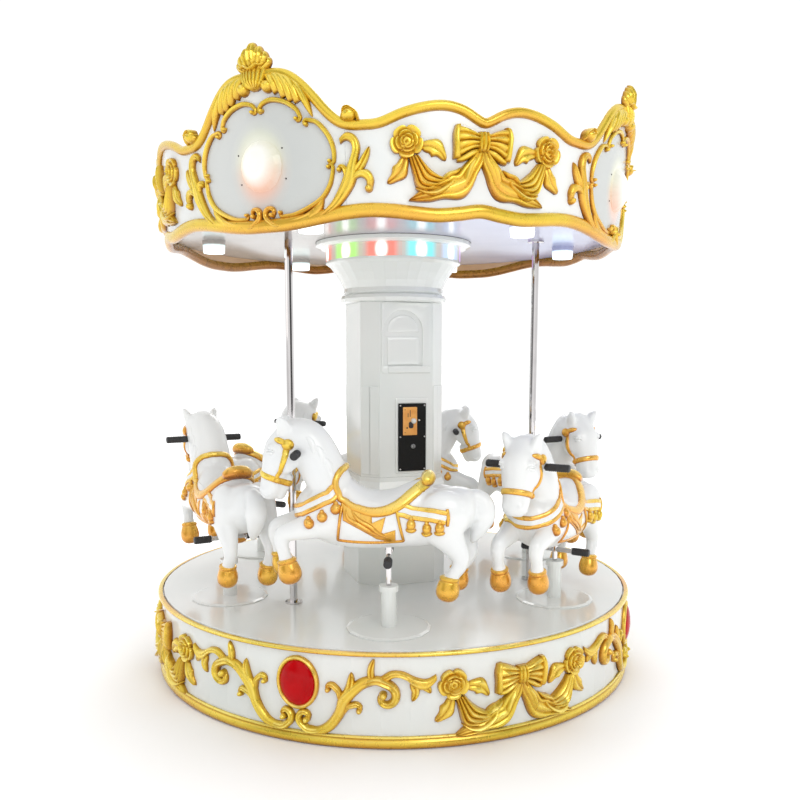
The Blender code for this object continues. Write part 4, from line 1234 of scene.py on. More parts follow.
def crest_middle():
    """A cup-shaped shell of seven ribs with a wavy lip, and a bud of seven petals that opens above it."""
    made = [dome((0.0, 2.356), 0.044, 0.040, 0.030, sides=24)]
    for i in range(7):
        lean = (i - 3) / 3
        rib = smooth_line([(lean * 0.004, 2.318), (lean * 0.034, 2.342), (lean * 0.044, 2.390)], 16)
        made.append(scroll(rib, 0.017, 0.044 - 0.012 * lean**2, groove=0.1, taper=(0.35, 0.8)))
    lip = [(-0.056, 2.408), (-0.040, 2.392), (-0.024, 2.394), (-0.008, 2.384), (0.008, 2.384),
           (0.024, 2.394),
           (0.040, 2.392), (0.056, 2.408)]
    made.append(stroke(lip, 40, 0.015, 0.047, taper=(0.5, 0.5)))
    for lean, tip, width, rise in ((0.95, 2.418, 0.034, 0.030), (0.72, 2.440, 0.038, 0.036),
                                   (0.42, 2.458, 0.040, 0.041), (0.0, 2.472, 0.044, 0.046)):
        for side in (1, -1)[: 2 if lean else 1]:
            spread = side * lean
            line = [(spread * 0.018, 2.378), (spread * 0.058, (2.378 + tip) / 2 + 0.004),
                    (spread * 0.056, tip)]
            made.append(stroke(line, 18, width, rise, groove=0.35, taper=(0.6, 0.40)))
    return made


CARTOUCHE = cartouche_side() + crest_side()
CARTOUCHE = CARTOUCHE + mirrored(CARTOUCHE) + crest_middle()
for k in range(4):
    skins = [s.mapped(on_valance(CANOPY_TURN + 90 * k)) for s in CARTOUCHE]
    put(f"cartouche_relief_{k + 1}", skins, GOLD, "ride")
print("triangles so far", TRIANGLES["all"])

# %% [markdown]
# ## Mouldings of the column
# The column is a moulded tower. Two of its wide faces have a shallow arched window with a sill, in a raised
# panel, and the two between them are plain. Lower down, flat pilasters stand on the narrow corner faces.
# All of these are flat plates with bevelled edges. In a plate with a hole, a section of eight points joins
# the outer outline to the inner one. In a plate without one, the outlines shrink towards the middle.

# %% Flat plates on a face
COLUMN_TURN = 37.0
COLUMN_DEPTH = 0.195
COLUMN_CHAMFER_DEPTH = (0.195 + 0.126) / math.sqrt(2)


def on_face(azimuth, depth):
    """s runs right on a flat face, t up, and n stands out of it."""
    angle = math.radians(azimuth)
    across = np.array([math.cos(angle), math.sin(angle), 0])
    out = np.array([math.sin(angle), -math.cos(angle), 0])
    return lambda p: p[:, :1] * across + (depth + p[:, 2:]) * out + p[:, 1:2] * np.array([0, 0, 1.0])


def rounded(left, right, low, high, radius, per_corner=5):
    """A rectangle with round corners, anticlockwise from its lower right corner."""
    corners = [(right - radius, low + radius, -90), (right - radius, high - radius, 0),
               (left + radius, high - radius, 90), (left + radius, low + radius, 180)]
    points = []
    for s, t, start in corners:
        angles = np.radians(start + np.linspace(0, 90, per_corner))
        points.append(np.stack([s + radius * np.cos(angles), t + radius * np.sin(angles)], -1))
    return np.concatenate(points)


def arch(left, right, low, spring, count=21):
    """A round-headed opening: two upright sides and half a circle, anticlockwise from the lower right."""
    radius = (right - left) / 2
    angles = np.linspace(0, math.pi, count)
    head = np.stack([(left + right) / 2 + radius * np.cos(angles), spring + radius * np.sin(angles)], -1)
    return np.concatenate(
        [[(right, low)], [(right, (low + spring) / 2)], head, [(left, (low + spring) / 2)], [(left, low)]])


def even_outline(outline, count=120):
    """The outline with evenly spaced points, beginning at its first point."""
    closed = np.concatenate([outline, outline[:1]])
    run = np.concatenate([[0], np.cumsum(np.linalg.norm(np.diff(closed, axis=0), axis=1))])
    even = np.linspace(0, run[-1], count, endpoint=False)
    return np.stack([np.interp(even, run, closed[:, i]) for i in range(2)], -1)


def inset(outline, by):
    """Points moved by a distance towards the inside, along the line's own normal."""
    along = np.roll(outline, -1, 0) - np.roll(outline, 1, 0)
    along /= np.linalg.norm(along, axis=1, keepdims=True) + 1e-9
    return outline + np.stack([-along[:, 1], along[:, 0]], -1) * by


PLATE_SUNK = 0.0008


def plate(outline, height, bevel=0.0015, hole=None, crown=0.0):
    """A bevelled plate. With a hole the section runs from the outer outline to the inner one and back under
    the face, and without one the rings shrink to the middle, where a crown may raise them."""
    outer = even_outline(outline)
    steps = [(outer, -PLATE_SUNK), (outer, height - bevel), (inset(outer, bevel * 0.3), height - 0.3 * bevel),
             (inset(outer, bevel), height)]
    if hole is None:
        centre = outer.mean(0)
        reach = inset(outer, bevel) - centre
        for share in (0.25, 0.5, 0.75, 0.92):
            steps.append((centre + reach * (1 - share), height + crown * (1 - (1 - share) ** 2)))
    else:
        inner = even_outline(hole)
        steps += [(inset(inner, -bevel), height), (inset(inner, -0.3 * bevel), height - 0.3 * bevel),
                  (inner, height - bevel), (inner, -PLATE_SUNK)]
    rings = np.stack([np.concatenate([line, np.full((len(line), 1), n)], 1) for line, n in steps])
    return tube_skin(rings, np.ones(rings.shape[:2]), closed=hole is not None)


# %% Windows, sills and pilasters
WINDOW_MIDDLE, WINDOW_HALF, WINDOW_FOOT, WINDOW_SPRING = -0.017, 0.091, 1.362, 1.518
GLASS_HALF = 0.074
FACE_HALF, LEDGE, FACE_TOP = 0.1225, 1.326, 1.643


def face_trim():
    """One wide face: the panel with its arched hole, the glazing inside it, and the sill."""
    left, right = WINDOW_MIDDLE - GLASS_HALF, WINDOW_MIDDLE + GLASS_HALF
    hole = arch(WINDOW_MIDDLE - WINDOW_HALF, WINDOW_MIDDLE + WINDOW_HALF, WINDOW_FOOT, WINDOW_SPRING)
    made = [
        plate(rounded(-FACE_HALF + 0.006, FACE_HALF - 0.006, LEDGE + 0.004, FACE_TOP, 0.003), 0.0065, 0.002,
              hole)]
    made.append(plate(rounded(left, right, 1.368, 1.4905, 0.004), 0.0035, 0.0022, crown=0.0012))
    made.append(plate(arch(left, right, 1.513, 1.514), 0.0035, 0.0022, crown=0.0012))
    made.append(plate(rounded(-0.089, 0.112, 1.332, 1.362, 0.004), 0.0115, 0.003))
    return made


def column_trim():
    """Windows on the coin panel's face and the one behind it, and pilasters on the corner faces."""
    made = []
    for k in range(4):
        azimuth = COLUMN_TURN + 90 * k
        if k % 2 == 0:
            made += [skin.mapped(on_face(azimuth, COLUMN_DEPTH)) for skin in face_trim()]
        pilaster = plate(rounded(-0.004, 0.046, 0.872, 1.272, 0.004), 0.0045, 0.0025)
        made.append(pilaster.mapped(on_face(azimuth - 45, COLUMN_CHAMFER_DEPTH)))
        made.append(mirrored([pilaster])[0].mapped(on_face(azimuth + 45, COLUMN_CHAMFER_DEPTH)))
    return made


put("column_mouldings", column_trim(), WHITE, "ride", sharp=40)
# A thin ring of the black rubber finish just under the ceiling, round the plate: painted shadow of the gap
# where the plate meets the ceiling.
PLATE_SHADOW_LINE = [(0.3560, 1.9184), (0.3588, 1.9184), (0.3588, 1.9197), (0.3560, 1.9197)]
put("plate_shadow_line", [turned_ring(PLATE_SHADOW_LINE, np.ones(4), 144)], RUBBER, "ride", sharp=40)

# %% [markdown]
# ## Coin panel
# The black panel stands in a thin white frame. It has six small screws, a lock, and an amber plate with a
# coin slot, a return cup and a round white knob. What was printed on the plate isn't copied: it is bare.

# %% Coin panel details
PANEL_MIDDLE, PANEL_LOW, PANEL_HIGH, PANEL_HALF, PANEL_THICK = 0.025, 0.888, 1.193, 0.0645, 0.0123
on_column = on_face(COLUMN_TURN, COLUMN_DEPTH)
on_panel = on_face(COLUMN_TURN, COLUMN_DEPTH + PANEL_THICK)
panel_left, panel_right = PANEL_MIDDLE - PANEL_HALF, PANEL_MIDDLE + PANEL_HALF
frame_edge = rounded(panel_left - 0.014, panel_right + 0.014, PANEL_LOW - 0.012, PANEL_HIGH + 0.026, 0.004)
frame_hole = rounded(panel_left - 0.001, panel_right + 0.001, PANEL_LOW - 0.001, PANEL_HIGH + 0.001, 0.001)
frame_plate = plate(frame_edge, 0.006, 0.002, frame_hole)
put("coin_frame", [frame_plate.mapped(on_column)], WHITE, "ride", sharp=40)
SLOT_MIDDLE = 0.013
amber = [plate(rounded(SLOT_MIDDLE - 0.0335, SLOT_MIDDLE + 0.0335, 1.051, 1.178, 0.003), 0.0022, 0.001)]
put("coin_plate", [skin.mapped(on_panel) for skin in amber], COIN_PLATE, "ride", sharp=40)
dark = [
    # The coin slot: a dark bar whose black is painted shade of the opening.
    plate(rounded(SLOT_MIDDLE - 0.001, SLOT_MIDDLE + 0.002, 1.134, 1.164, 0.001), 0.0032, 0.0006),
    plate(rounded(SLOT_MIDDLE - 0.011, SLOT_MIDDLE - 0.008, 1.132, 1.150, 0.001), 0.0030, 0.0006),
    plate(rounded(SLOT_MIDDLE - 0.006, SLOT_MIDDLE + 0.016, 1.082, 1.112, 0.008), 0.0050, 0.002),
    dome((SLOT_MIDDLE - 0.014, 1.084), 0.0045, 0.0045, 0.0050, sides=14, rows=5),
    dome((SLOT_MIDDLE - 0.024, 1.166), 0.0028, 0.0028, 0.0036, sides=12, rows=4),
    dome((SLOT_MIDDLE - 0.024, 1.063), 0.0028, 0.0028, 0.0036, sides=12, rows=4),
    # The lock's keyway: a dark bar whose black is painted shade of the opening.
    plate(rounded(0.0262, 0.0298, 0.996, 1.004, 0.001), 0.0092, 0.0006),
]
put("coin_fittings", [skin.mapped(on_panel) for skin in dark], DARK, "ride", sharp=40)
knob = [dome((SLOT_MIDDLE + 0.017, 1.115), 0.013, 0.013, 0.018, sides=24, rows=9),
        dome((SLOT_MIDDLE + 0.044, 1.118), 0.0045, 0.0045, 0.006, sides=14, rows=5)]
put("coin_knob", [skin.mapped(on_panel) for skin in knob], WHITE, "ride", sharp=80)
SCREWS = [(panel_left + 0.007, PANEL_LOW + 0.008), (panel_right - 0.007, PANEL_LOW + 0.008),
          (panel_left + 0.007, 1.043), (panel_right - 0.007, 1.043),
          (panel_left + 0.007, PANEL_HIGH - 0.008), (panel_right - 0.007, PANEL_HIGH - 0.008)]
bright = [screw_head(place, 0.0042, 0.0035) for place in SCREWS]
bright += [oval_frame((0.028, 1.000), 0.0085, 0.0085, 0.004, 0.006, 32),
           dome((0.028, 1.000), 0.0065, 0.0065, 0.008, sides=24)]
put("coin_screws", [skin.mapped(on_panel) for skin in bright], ZINC, "ride", sharp=60)
print("triangles so far", TRIANGLES["all"])

# %% [markdown]
# ## The horse's form
# A carousel horse is laid up in a mould, so body, neck, head, legs, saddle seat and tail are one smooth skin.
# Here each part is a loft through stations, as a boat's hull is drawn. The lofts overlap, and a voxel
# remesh melts them into one skin, which a smoothing pass then fairs. Subdividing a hand-made cage would
# give fewer faces, but the joins of legs and neck would need much more care.
#
# The horse is made once, in its own frame: x ahead, y to its left, z up, and the rod on the z axis.

# %% Lofts
STEPS_PER_STATION = 6


def loft(stations, side=0.0, splay=0.0, facing=None, sides=28):
    """Ovals across a line in the horse's middle plane. Each station is x, z, half depth, half width, and the
    direction of the depth is the line's own normal unless facing gives one in degrees for each station."""
    stations = np.asarray(stations, float)
    if facing is not None:
        stations = np.concatenate([stations, np.asarray(facing, float)[:, None]], 1)
    rows = cubic_steps(stations, STEPS_PER_STATION)
    x, z, deep, wide = rows[:, :4].T
    if facing is None:
        across = left_of(rows[:, :2])
    else:
        across = np.stack([np.cos(np.radians(rows[:, 4])), np.sin(np.radians(rows[:, 4]))], -1)
    turn = circle(sides)
    reach = np.clip(deep, 0.002, None)[:, None] * np.cos(turn)
    sideways = side + splay * np.linspace(0, 1, len(rows))[:, None]
    y = sideways + np.clip(wide, 0.002, None)[:, None] * np.sin(turn)
    rings = np.stack([x[:, None] + reach * across[:, :1], y, z[:, None] + reach * across[:, 1:]], -1)
    return tube_skin(rings, np.ones(rings.shape[:2]))


def ball(centre, radii, sides=20, rows=12):
    """An ellipsoid: rings of latitude along z."""
    up = np.linspace(-0.49 * math.pi, 0.49 * math.pi, rows)
    around = circle(sides)
    rings = np.stack([
        centre[0] + radii[0] * np.cos(up)[:, None] * np.cos(around),
        centre[1] + radii[1] * np.cos(up)[:, None] * np.sin(around),
        np.broadcast_to(centre[2] + radii[2] * np.sin(up)[:, None], (rows, sides)),
    ], -1)
    return tube_skin(rings, np.ones((rows, sides)))


# %% Stations of the horse
BARREL = [
    (-0.332, 0.805, 0.024, 0.024), (-0.312, 0.800, 0.070, 0.075), (-0.250, 0.782, 0.100, 0.112),
    (-0.160, 0.764, 0.106, 0.122), (-0.050, 0.752, 0.103, 0.119), (0.060, 0.750, 0.106, 0.118),
    (0.160, 0.762, 0.114, 0.116), (0.250, 0.782, 0.112, 0.104), (0.315, 0.792, 0.084, 0.080),
    (0.352, 0.795, 0.034, 0.036),
]
NECK = [
    (0.195, 0.790, 0.110, 0.100), (0.230, 0.895, 0.107, 0.092), (0.272, 0.988, 0.098, 0.086),
    (0.332, 1.056, 0.096, 0.080), (0.386, 1.052, 0.090, 0.076), (0.402, 1.026, 0.076, 0.074),
    (0.417, 0.998, 0.067, 0.071), (0.427, 0.950, 0.057, 0.063), (0.437, 0.905, 0.050, 0.056),
    (0.446, 0.872, 0.046, 0.052), (0.452, 0.848, 0.038, 0.046), (0.455, 0.832, 0.020, 0.030),
]
NECK_FACING = [30, 15, 0, -35, -78, -108, -138, -160, -168, -172, -174, -175]
JAW = [(0.385, 0.930, 0.028, 0.026), (0.402, 0.880, 0.025, 0.028), (0.412, 0.848, 0.020, 0.026),
       (0.416, 0.828, 0.010, 0.014)]
SEAT_TOP = [
    (0.208, 0.905, 0.050), (0.194, 0.930, 0.078), (0.150, 0.915, 0.098), (0.095, 0.880, 0.112),
    (0.040, 0.864, 0.117),
    (-0.020, 0.872, 0.116), (-0.070, 0.892, 0.110), (-0.115, 0.908, 0.098), (-0.150, 0.902, 0.078),
    (-0.168, 0.880, 0.056),
]
SEAT_FOOT = 0.770
THIGH = [
    (-0.190, 0.795, 0.085, 0.050), (-0.225, 0.735, 0.077, 0.048), (-0.262, 0.680, 0.053, 0.040),
    (-0.292, 0.628, 0.036, 0.030), (-0.290, 0.592, 0.029, 0.026), (-0.266, 0.556, 0.025, 0.025),
    (-0.252, 0.532, 0.032, 0.032),
]
FOREARM = [
    (0.215, 0.775, 0.072, 0.048), (0.285, 0.748, 0.056, 0.042), (0.355, 0.727, 0.042, 0.035),
    (0.412, 0.712, 0.034, 0.031), (0.424, 0.680, 0.029, 0.028), (0.414, 0.635, 0.024, 0.024),
    (0.406, 0.602, 0.029, 0.029),
]
TAIL = [
    (-0.290, 0.835, 0.024, 0.024), (-0.330, 0.842, 0.030, 0.032), (-0.362, 0.815, 0.038, 0.040),
    (-0.366, 0.770, 0.041, 0.043), (-0.350, 0.728, 0.034, 0.036), (-0.330, 0.690, 0.022, 0.024),
    (-0.318, 0.662, 0.008, 0.009),
]
EAR = [
    (0.374, 1.066, 0.028, 0.020), (0.384, 1.098, 0.031, 0.022), (0.394, 1.122, 0.026, 0.019),
    (0.402, 1.142, 0.016, 0.012), (0.405, 1.150, 0.006, 0.005),
]
THIGH_SIDE, FOREARM_SIDE, EAR_SIDE, EAR_SPLAY = 0.078, 0.070, 0.046, 0.030
STAGGER = 0.0225


def seat_skin():
    """The seat: half ovals across the back, whose tops follow the line from pommel to cantle."""
    rows = cubic_steps(SEAT_TOP, STEPS_PER_STATION)
    turn = np.linspace(-0.05 * math.pi, 1.05 * math.pi, 22)
    rings = np.stack([
        np.broadcast_to(rows[:, :1], (len(rows), len(turn))),
        rows[:, 2:] * np.sign(np.cos(turn)) * np.abs(np.cos(turn)) ** 0.85,
        SEAT_FOOT + (rows[:, 1:2] - SEAT_FOOT) * np.clip(np.sin(turn), -0.1, 1),
    ], -1)
    return tube_skin(rings, np.ones(rings.shape[:2]))


def moved_ahead(stations, by):
    return [(x + by, *rest) for x, *rest in stations]


def horse_lofts():
    made = [loft(BARREL, facing=[90] * len(BARREL)), loft(NECK, facing=NECK_FACING), loft(JAW), seat_skin(),
            loft(TAIL)]
    made.append(ball((-0.358, 0.0, 0.776), (0.042, 0.046, 0.046)))
    for side in (1, -1):
        made.append(loft(moved_ahead(THIGH, side * STAGGER), side * THIGH_SIDE))
        made.append(loft(moved_ahead(FOREARM, -side * STAGGER), side * FOREARM_SIDE))
        made.append(loft(EAR, side * EAR_SIDE, side * EAR_SPLAY, sides=16))
        made.append(ball((-0.205, side * 0.072, 0.780), (0.100, 0.056, 0.098)))
        made.append(ball((0.235, side * 0.066, 0.788), (0.088, 0.050, 0.100)))
        made.append(ball((0.388, side * 0.050, 0.985), (0.050, 0.030, 0.052)))
        made.append(ball((0.434, side * 0.062, 1.036), (0.022, 0.014, 0.013)))
        made.append(ball((0.474, side * 0.032, 0.872), (0.015, 0.014, 0.017)))
    return made


# %% Melt the lofts into one skin
VOXEL, FAIRING_PASSES = 0.0065, 7


def melted(skins, voxel, passes):
    """A voxel remesh of overlapping skins, faired by smoothing passes, as numpy arrays."""
    skin = joined([outward(s) for s in skins])
    mesh = bpy.data.meshes.new("melt")
    faces = [tuple(f) for f in skin.quads.tolist()] + [tuple(f) for f in skin.tris.tolist()]
    mesh.from_pydata(skin.points.tolist(), [], faces)
    holder = bpy.data.objects.new("melt", mesh)
    bpy.context.scene.collection.objects.link(holder)
    remesh = holder.modifiers.new("remesh", "REMESH")
    remesh.mode, remesh.voxel_size = "VOXEL", voxel
    smooth = holder.modifiers.new("smooth", "SMOOTH")
    smooth.factor, smooth.iterations = 0.5, passes
    bpy.context.view_layer.update()
    result = bpy.data.meshes.new_from_object(holder.evaluated_get(bpy.context.evaluated_depsgraph_get()))
    bpy.data.objects.remove(holder)
    points = np.zeros(len(result.vertices) * 3)
    result.vertices.foreach_get("co", points)
    corners = np.zeros(len(result.loops), int)
    result.loops.foreach_get("vertex_index", corners)
    return Skin(points.reshape(-1, 3), corners.reshape(-1, 4), np.zeros((0, 3), int),
                np.ones(len(points) // 3))


HORSE = melted(horse_lofts(), VOXEL, FAIRING_PASSES)
print("horse points", len(HORSE.points), "box", HORSE.points.min(0).round(3), HORSE.points.max(0).round(3))

# %% [markdown]
# ## Pressing saddlery on the horse
# Straps and borders lie on a curved body. They are drawn in side view, or along a line in space, and a
# Shrinkwrap modifier drops the points on the horse's skin. It is done twice, on the skin and 10 mm above it,
# and the difference is the direction in which the strap is thick.

# %% Press points on the horse
def as_object(name, skin):
    mesh = bpy.data.meshes.new(name)
    mesh.from_pydata(skin.points.tolist(), [], skin.quads.tolist())
    holder = bpy.data.objects.new(name, mesh)
    bpy.context.scene.collection.objects.link(holder)
    return holder


HORSE_FORM = as_object("horse_form", outward(HORSE))


ABOVE = 0.01
OUTSIDE, INSIDE = 0.30, 0.06


def shrinkwrapped(points, offset, side=0):
    """Points on the horse's skin, or offset above it: the nearest place, or from that side along y."""
    mesh = bpy.data.meshes.new("press")
    mesh.vertices.add(len(points))
    mesh.vertices.foreach_set("co", np.asarray(points, np.float32).ravel())
    holder = bpy.data.objects.new("press", mesh)
    bpy.context.scene.collection.objects.link(holder)
    wrap = holder.modifiers.new("press", "SHRINKWRAP")
    wrap.target, wrap.offset, wrap.wrap_mode = HORSE_FORM, offset, "ABOVE_SURFACE"
    if side:
        wrap.wrap_method, wrap.use_project_y = "PROJECT", True
        wrap.use_positive_direction, wrap.use_negative_direction = side < 0, side > 0
    bpy.context.view_layer.update()
    result = holder.evaluated_get(bpy.context.evaluated_depsgraph_get()).to_mesh()
    moved = np.zeros(len(points) * 3, np.float32)
    result.vertices.foreach_get("co", moved)
    bpy.data.objects.remove(holder)
    return moved.reshape(-1, 3).astype(float)


def on_skin(points, side=0):
    """The place on the skin and the direction out of it."""
    low, high = shrinkwrapped(points, 0.0, side), shrinkwrapped(points, ABOVE, side)
    out = high - low
    return low, out / (np.linalg.norm(out, axis=1, keepdims=True) + 1e-9)


def on_flank(side):
    """Side view to skin: the first column is x, the second z, and the third how far out of the skin. Points
    are sent in from OUTSIDE. One that misses the horse is still there, and goes to the nearest place."""
    def change(p):
        start = np.stack([p[:, 0], np.full(len(p), side * OUTSIDE), p[:, 1]], -1)
        low, out = on_skin(start, side)
        missed = np.abs(low[:, 1]) > OUTSIDE - ABOVE
        if missed.any():
            start[:, 1] = side * INSIDE
            low[missed], out[missed] = (found[missed] for found in on_skin(start))
        return low + out * p[:, 2:]
    return change


def strap(guide, width, height, offset=0.0, closed=False, across=7, power=2.0, count=60):
    """A band along a line in space: the line and then the points across it are dropped on the skin, and
    they rise from it by (1 - |x|^power)^0.5. The width is one number or one for each point of the line."""
    line = smooth_line(guide, count, closed)
    centre, out = on_skin(line)
    ahead = np.roll(centre, -1, 0) - np.roll(centre, 1, 0) if closed else np.gradient(centre, axis=0)
    side = np.cross(out, ahead)
    side /= np.linalg.norm(side, axis=1, keepdims=True) + 1e-9
    x = -np.cos(np.linspace(0, math.pi, across))
    widths = np.broadcast_to(np.asarray(width, float), (count,))[:, None]
    flat = centre[:, None] + side[:, None] * (offset + x * widths / 2)[..., None]
    low, up = on_skin(flat.reshape(-1, 3))
    rise = np.sqrt(np.clip(1 - np.abs(x) ** power, 0, 1))
    rise = np.broadcast_to(rise, (count, across))
    heights = np.broadcast_to(np.asarray(height, float), (count,))[:, None]
    lift = (rise * heights - GROUND)[..., None]
    rings = low.reshape(count, across, 3) + up.reshape(count, across, 3) * lift
    return tube_skin(rings, rise * 0.8 + 0.2, closed)


# %% [markdown]
# ## Saddle, blanket, straps and bridle
# The saddle has a rolled gold border that runs round the whole seat, with a thick bolster at the cantle.
# Below it hangs a square blanket with gold edges and a gold cloth across it. A breast strap goes round the
# chest with three round bells on each side, a rear strap carries three tulip bells, and the bridle has a
# rosette, a cheek strap and a nose band.

# %% Saddle border and cantle
BOLSTER_X, BOLSTER_Z, BOLSTER_RADIUS, BOLSTER_REACH, BOLSTER_ARCH = -0.142, 0.906, 0.027, 0.062, 0.010


def saddle_gold():
    """The border, flat and wider towards the cantle, and the bolster there: a short roll across the back that
    arches backwards and up and thins at its ends."""
    side = [(0.197, 0.040, 0.937), (0.198, 0.078, 0.908), (0.178, 0.104, 0.874), (0.135, 0.116, 0.830),
            (0.070, 0.121, 0.806), (0.005, 0.121, 0.812), (-0.045, 0.117, 0.842), (-0.082, 0.106, 0.880),
            (-0.115, 0.086, 0.908), (-0.142, 0.050, 0.916)]
    loop = [(0.195, 0.0, 0.943)] + side + [(-0.150, 0.0, 0.912)] + [(x, -y, z) for x, y, z in side[::-1]]
    widths = np.interp(smooth_line(loop, 150, True)[:, 0], [-0.15, -0.08, 0.05, 0.19],
                       [0.050, 0.048, 0.039, 0.026])
    made = [strap(loop, widths, 0.014, closed=True, across=9, power=3.0, count=150)]
    reach = np.linspace(-1, 1, 20)
    radius = BOLSTER_RADIUS * (1 - np.abs(reach) ** 4 * 0.55)
    turn = circle(18)
    size = (len(reach), len(turn))
    arch_by = BOLSTER_ARCH * (1 - reach[:, None] ** 2)
    rings = np.stack([
        BOLSTER_X - arch_by + radius[:, None] * np.cos(turn),
        np.broadcast_to(BOLSTER_REACH * reach[:, None], size),
        BOLSTER_Z + arch_by + radius[:, None] * np.sin(turn) * 1.05,
    ], -1)
    # Relief here is painted light: the top of the roll is lighter than its underside.
    made.append(tube_skin(rings, np.broadcast_to(0.6 + 0.4 * np.sin(turn), size)))
    return made


# %% Blanket and its gold
BLANKET_FRONT = [(0.166, 0.850), (0.178, 0.770), (0.188, 0.690)]
BLANKET_BACK = [(-0.028, 0.822), (-0.044, 0.750), (-0.058, 0.690)]
CLOTH_TOP = [
    (0.152, 0.832), (0.130, 0.812), (0.057, 0.796), (0.057, 0.763), (0.007, 0.786), (0.024, 0.721),
    (-0.028, 0.737), (-0.028, 0.690),
]
CLOTH_LOW = [
    (0.170, 0.842), (0.166, 0.770), (0.133, 0.752), (0.105, 0.737), (0.075, 0.719), (0.045, 0.702),
    (0.010, 0.691), (-0.020, 0.685),
]
CLOTH_FOLDS = [
    [(0.140, 0.812), (0.112, 0.776), (0.066, 0.750), (0.030, 0.722), (-0.012, 0.702)],
    [(0.158, 0.815), (0.148, 0.780), (0.108, 0.757), (0.062, 0.730), (0.018, 0.705)],
]
ROUND_BELLS = [(0.292, 0.757), (0.242, 0.783), (0.193, 0.812)]
TULIP_BELLS = [(-0.085, 0.752), (-0.143, 0.738), (-0.190, 0.742)]


def between_corners(corners, per_step=6):
    """Straight steps between corners, so that a zigzag keeps its points."""
    corners = np.asarray(corners, float)
    places = np.linspace(0, len(corners) - 1, per_step * (len(corners) - 1) + 1)
    return np.stack([np.interp(places, np.arange(len(corners)), corners[:, i]) for i in range(2)], -1)


def blanket_white():
    """The blanket of one side, drawn in side view as a thin flat drape."""
    return [drape(smooth_line(BLANKET_FRONT, 22), smooth_line(BLANKET_BACK, 22), 0.0045, 25, ends=1.0)]


def flank_gold():
    """Edges of the blanket, the gold cloth with its zigzag edge and two folds, the bells, and the bar at the
    end of the rear strap, in side view."""
    made = [stroke(line, 24, 0.012, 0.010, taper=(0.9, 0.9)) for line in (
        BLANKET_FRONT, BLANKET_BACK, [BLANKET_FRONT[-1], (0.065, 0.686), BLANKET_BACK[-1]])]
    made.append(
        drape(between_corners(CLOTH_TOP), between_corners(CLOTH_LOW), 0.009, 21, ends=0.8, power=8.0))
    for fold in CLOTH_FOLDS:
        made.append(stroke(fold, 26, 0.020, 0.016, taper=(0.5, 0.3)))
    for x, z in ROUND_BELLS:
        made.append(dome((x, z), 0.020, 0.021, 0.021, sides=16, rows=6))
        made.append(dome((x + 0.001, z + 0.020), 0.009, 0.009, 0.014, sides=10, rows=4))
    for x, z in TULIP_BELLS:
        made.append(dome((x, z + 0.003), 0.018, 0.023, 0.020, sides=16, rows=6))
        made.append(dome((x, z - 0.015), 0.021, 0.010, 0.017, sides=16, rows=6))
        made.append(dome((x, z + 0.026), 0.009, 0.010, 0.014, sides=10, rows=4))
    made.append(
        stroke([(-0.217, 0.816), (-0.221, 0.784), (-0.218, 0.752)], 12, 0.015, 0.011, taper=(0.8, 0.8)))
    return made


# %% Straps and bridle
def strap_lines():
    """Guides in space for the breast strap and, on the left side, the rear strap."""
    half = [(0.180, 0.120, 0.886), (0.225, 0.122, 0.862), (0.275, 0.112, 0.834), (0.322, 0.084, 0.808),
            (0.352, 0.040, 0.793)]
    breast = half + [(0.362, 0.0, 0.789)] + [(x, -y, z) for x, y, z in half[::-1]]
    rear = [(-0.040, 0.125, 0.817), (-0.100, 0.128, 0.805), (-0.160, 0.126, 0.793), (-0.214, 0.120, 0.783)]
    return breast, rear


def straps(offset, width, height, power):
    """The breast strap and both rear straps at one offset across their width."""
    breast, rear = strap_lines()
    mirror = [(x, -y, z) for x, y, z in rear]
    return [strap(breast, width, height, offset, power=power, count=90)] + [
        strap(line, width, height, turn * offset, power=power, count=30) for line,
        turn in ((rear, 1), (mirror, -1))]


def bridle_gold():
    """The nose band round the muzzle and a cheek strap on each side that narrows downwards."""
    made = []
    turn = circle(16)
    band = np.stack([0.420 + 0.056 * np.cos(turn), 0.066 * np.sin(turn), 0.910 + 0.022 * np.cos(turn)], -1)
    made.append(strap(band, 0.025, 0.007, closed=True, power=4.0, count=80))
    for side in (1, -1):
        cheek = [(0.374, side * 0.086, 1.034), (0.386, side * 0.088, 0.990), (0.402, side * 0.078, 0.945),
                 (0.415, side * 0.068, 0.912)]
        made.append(strap(cheek, np.linspace(0.027, 0.015, 30), 0.007, power=4.0, count=30))
    return made


def rosettes():
    """In side view: the smooth boss with its tab ahead, and the knob where cheek strap and nose band meet."""
    tab = smooth_line([(0.378, 1.050), (0.400, 1.060), (0.424, 1.066)], 14)
    return [dome((0.371, 1.046), 0.024, 0.022, 0.015, sides=24, rows=8),
            scroll(tab, 0.024, 0.010, taper=(1.0, 0.3)),
            dome((0.417, 0.911), 0.013, 0.013, 0.013, sides=16, rows=6)]


def face_and_mane():
    """White relief in side view: the eye under its lid, the corner of the mouth, and shallow mane folds."""
    made = [dome((0.439, 1.014), 0.012, 0.008, 0.006, sides=18, rows=5)]
    made.append(stroke([(0.422, 1.014), (0.434, 1.027), (0.449, 1.026), (0.458, 1.014)], 18, 0.006, 0.007,
                       taper=(0.4, 0.4)))
    made.append(
        stroke([(0.432, 0.862), (0.452, 0.852), (0.472, 0.850)], 14, 0.006, 0.004, taper=(0.3, 0.6)))
    for x, z in ((0.300, 1.078), (0.266, 1.044), (0.238, 1.000), (0.222, 0.952)):
        fold = smooth_line([(x, z), (x - 0.020, z - 0.030), (x - 0.026, z - 0.066)], 18)
        made.append(scroll(fold, 0.024, 0.005, taper=(0.3, 0.2)))
    return made


# %% Hooves
HOOF_RELIEF = 0.80
HOOF_SHARE = np.array([0.0, 0.05, 0.13, 0.18, 0.24, 0.48, 0.70, 0.86, 0.96, 1.0])
HOOF_RADIUS = np.array([0.028, 0.037, 0.0375, 0.035, 0.038, 0.044, 0.0435, 0.036, 0.023, 0.009])


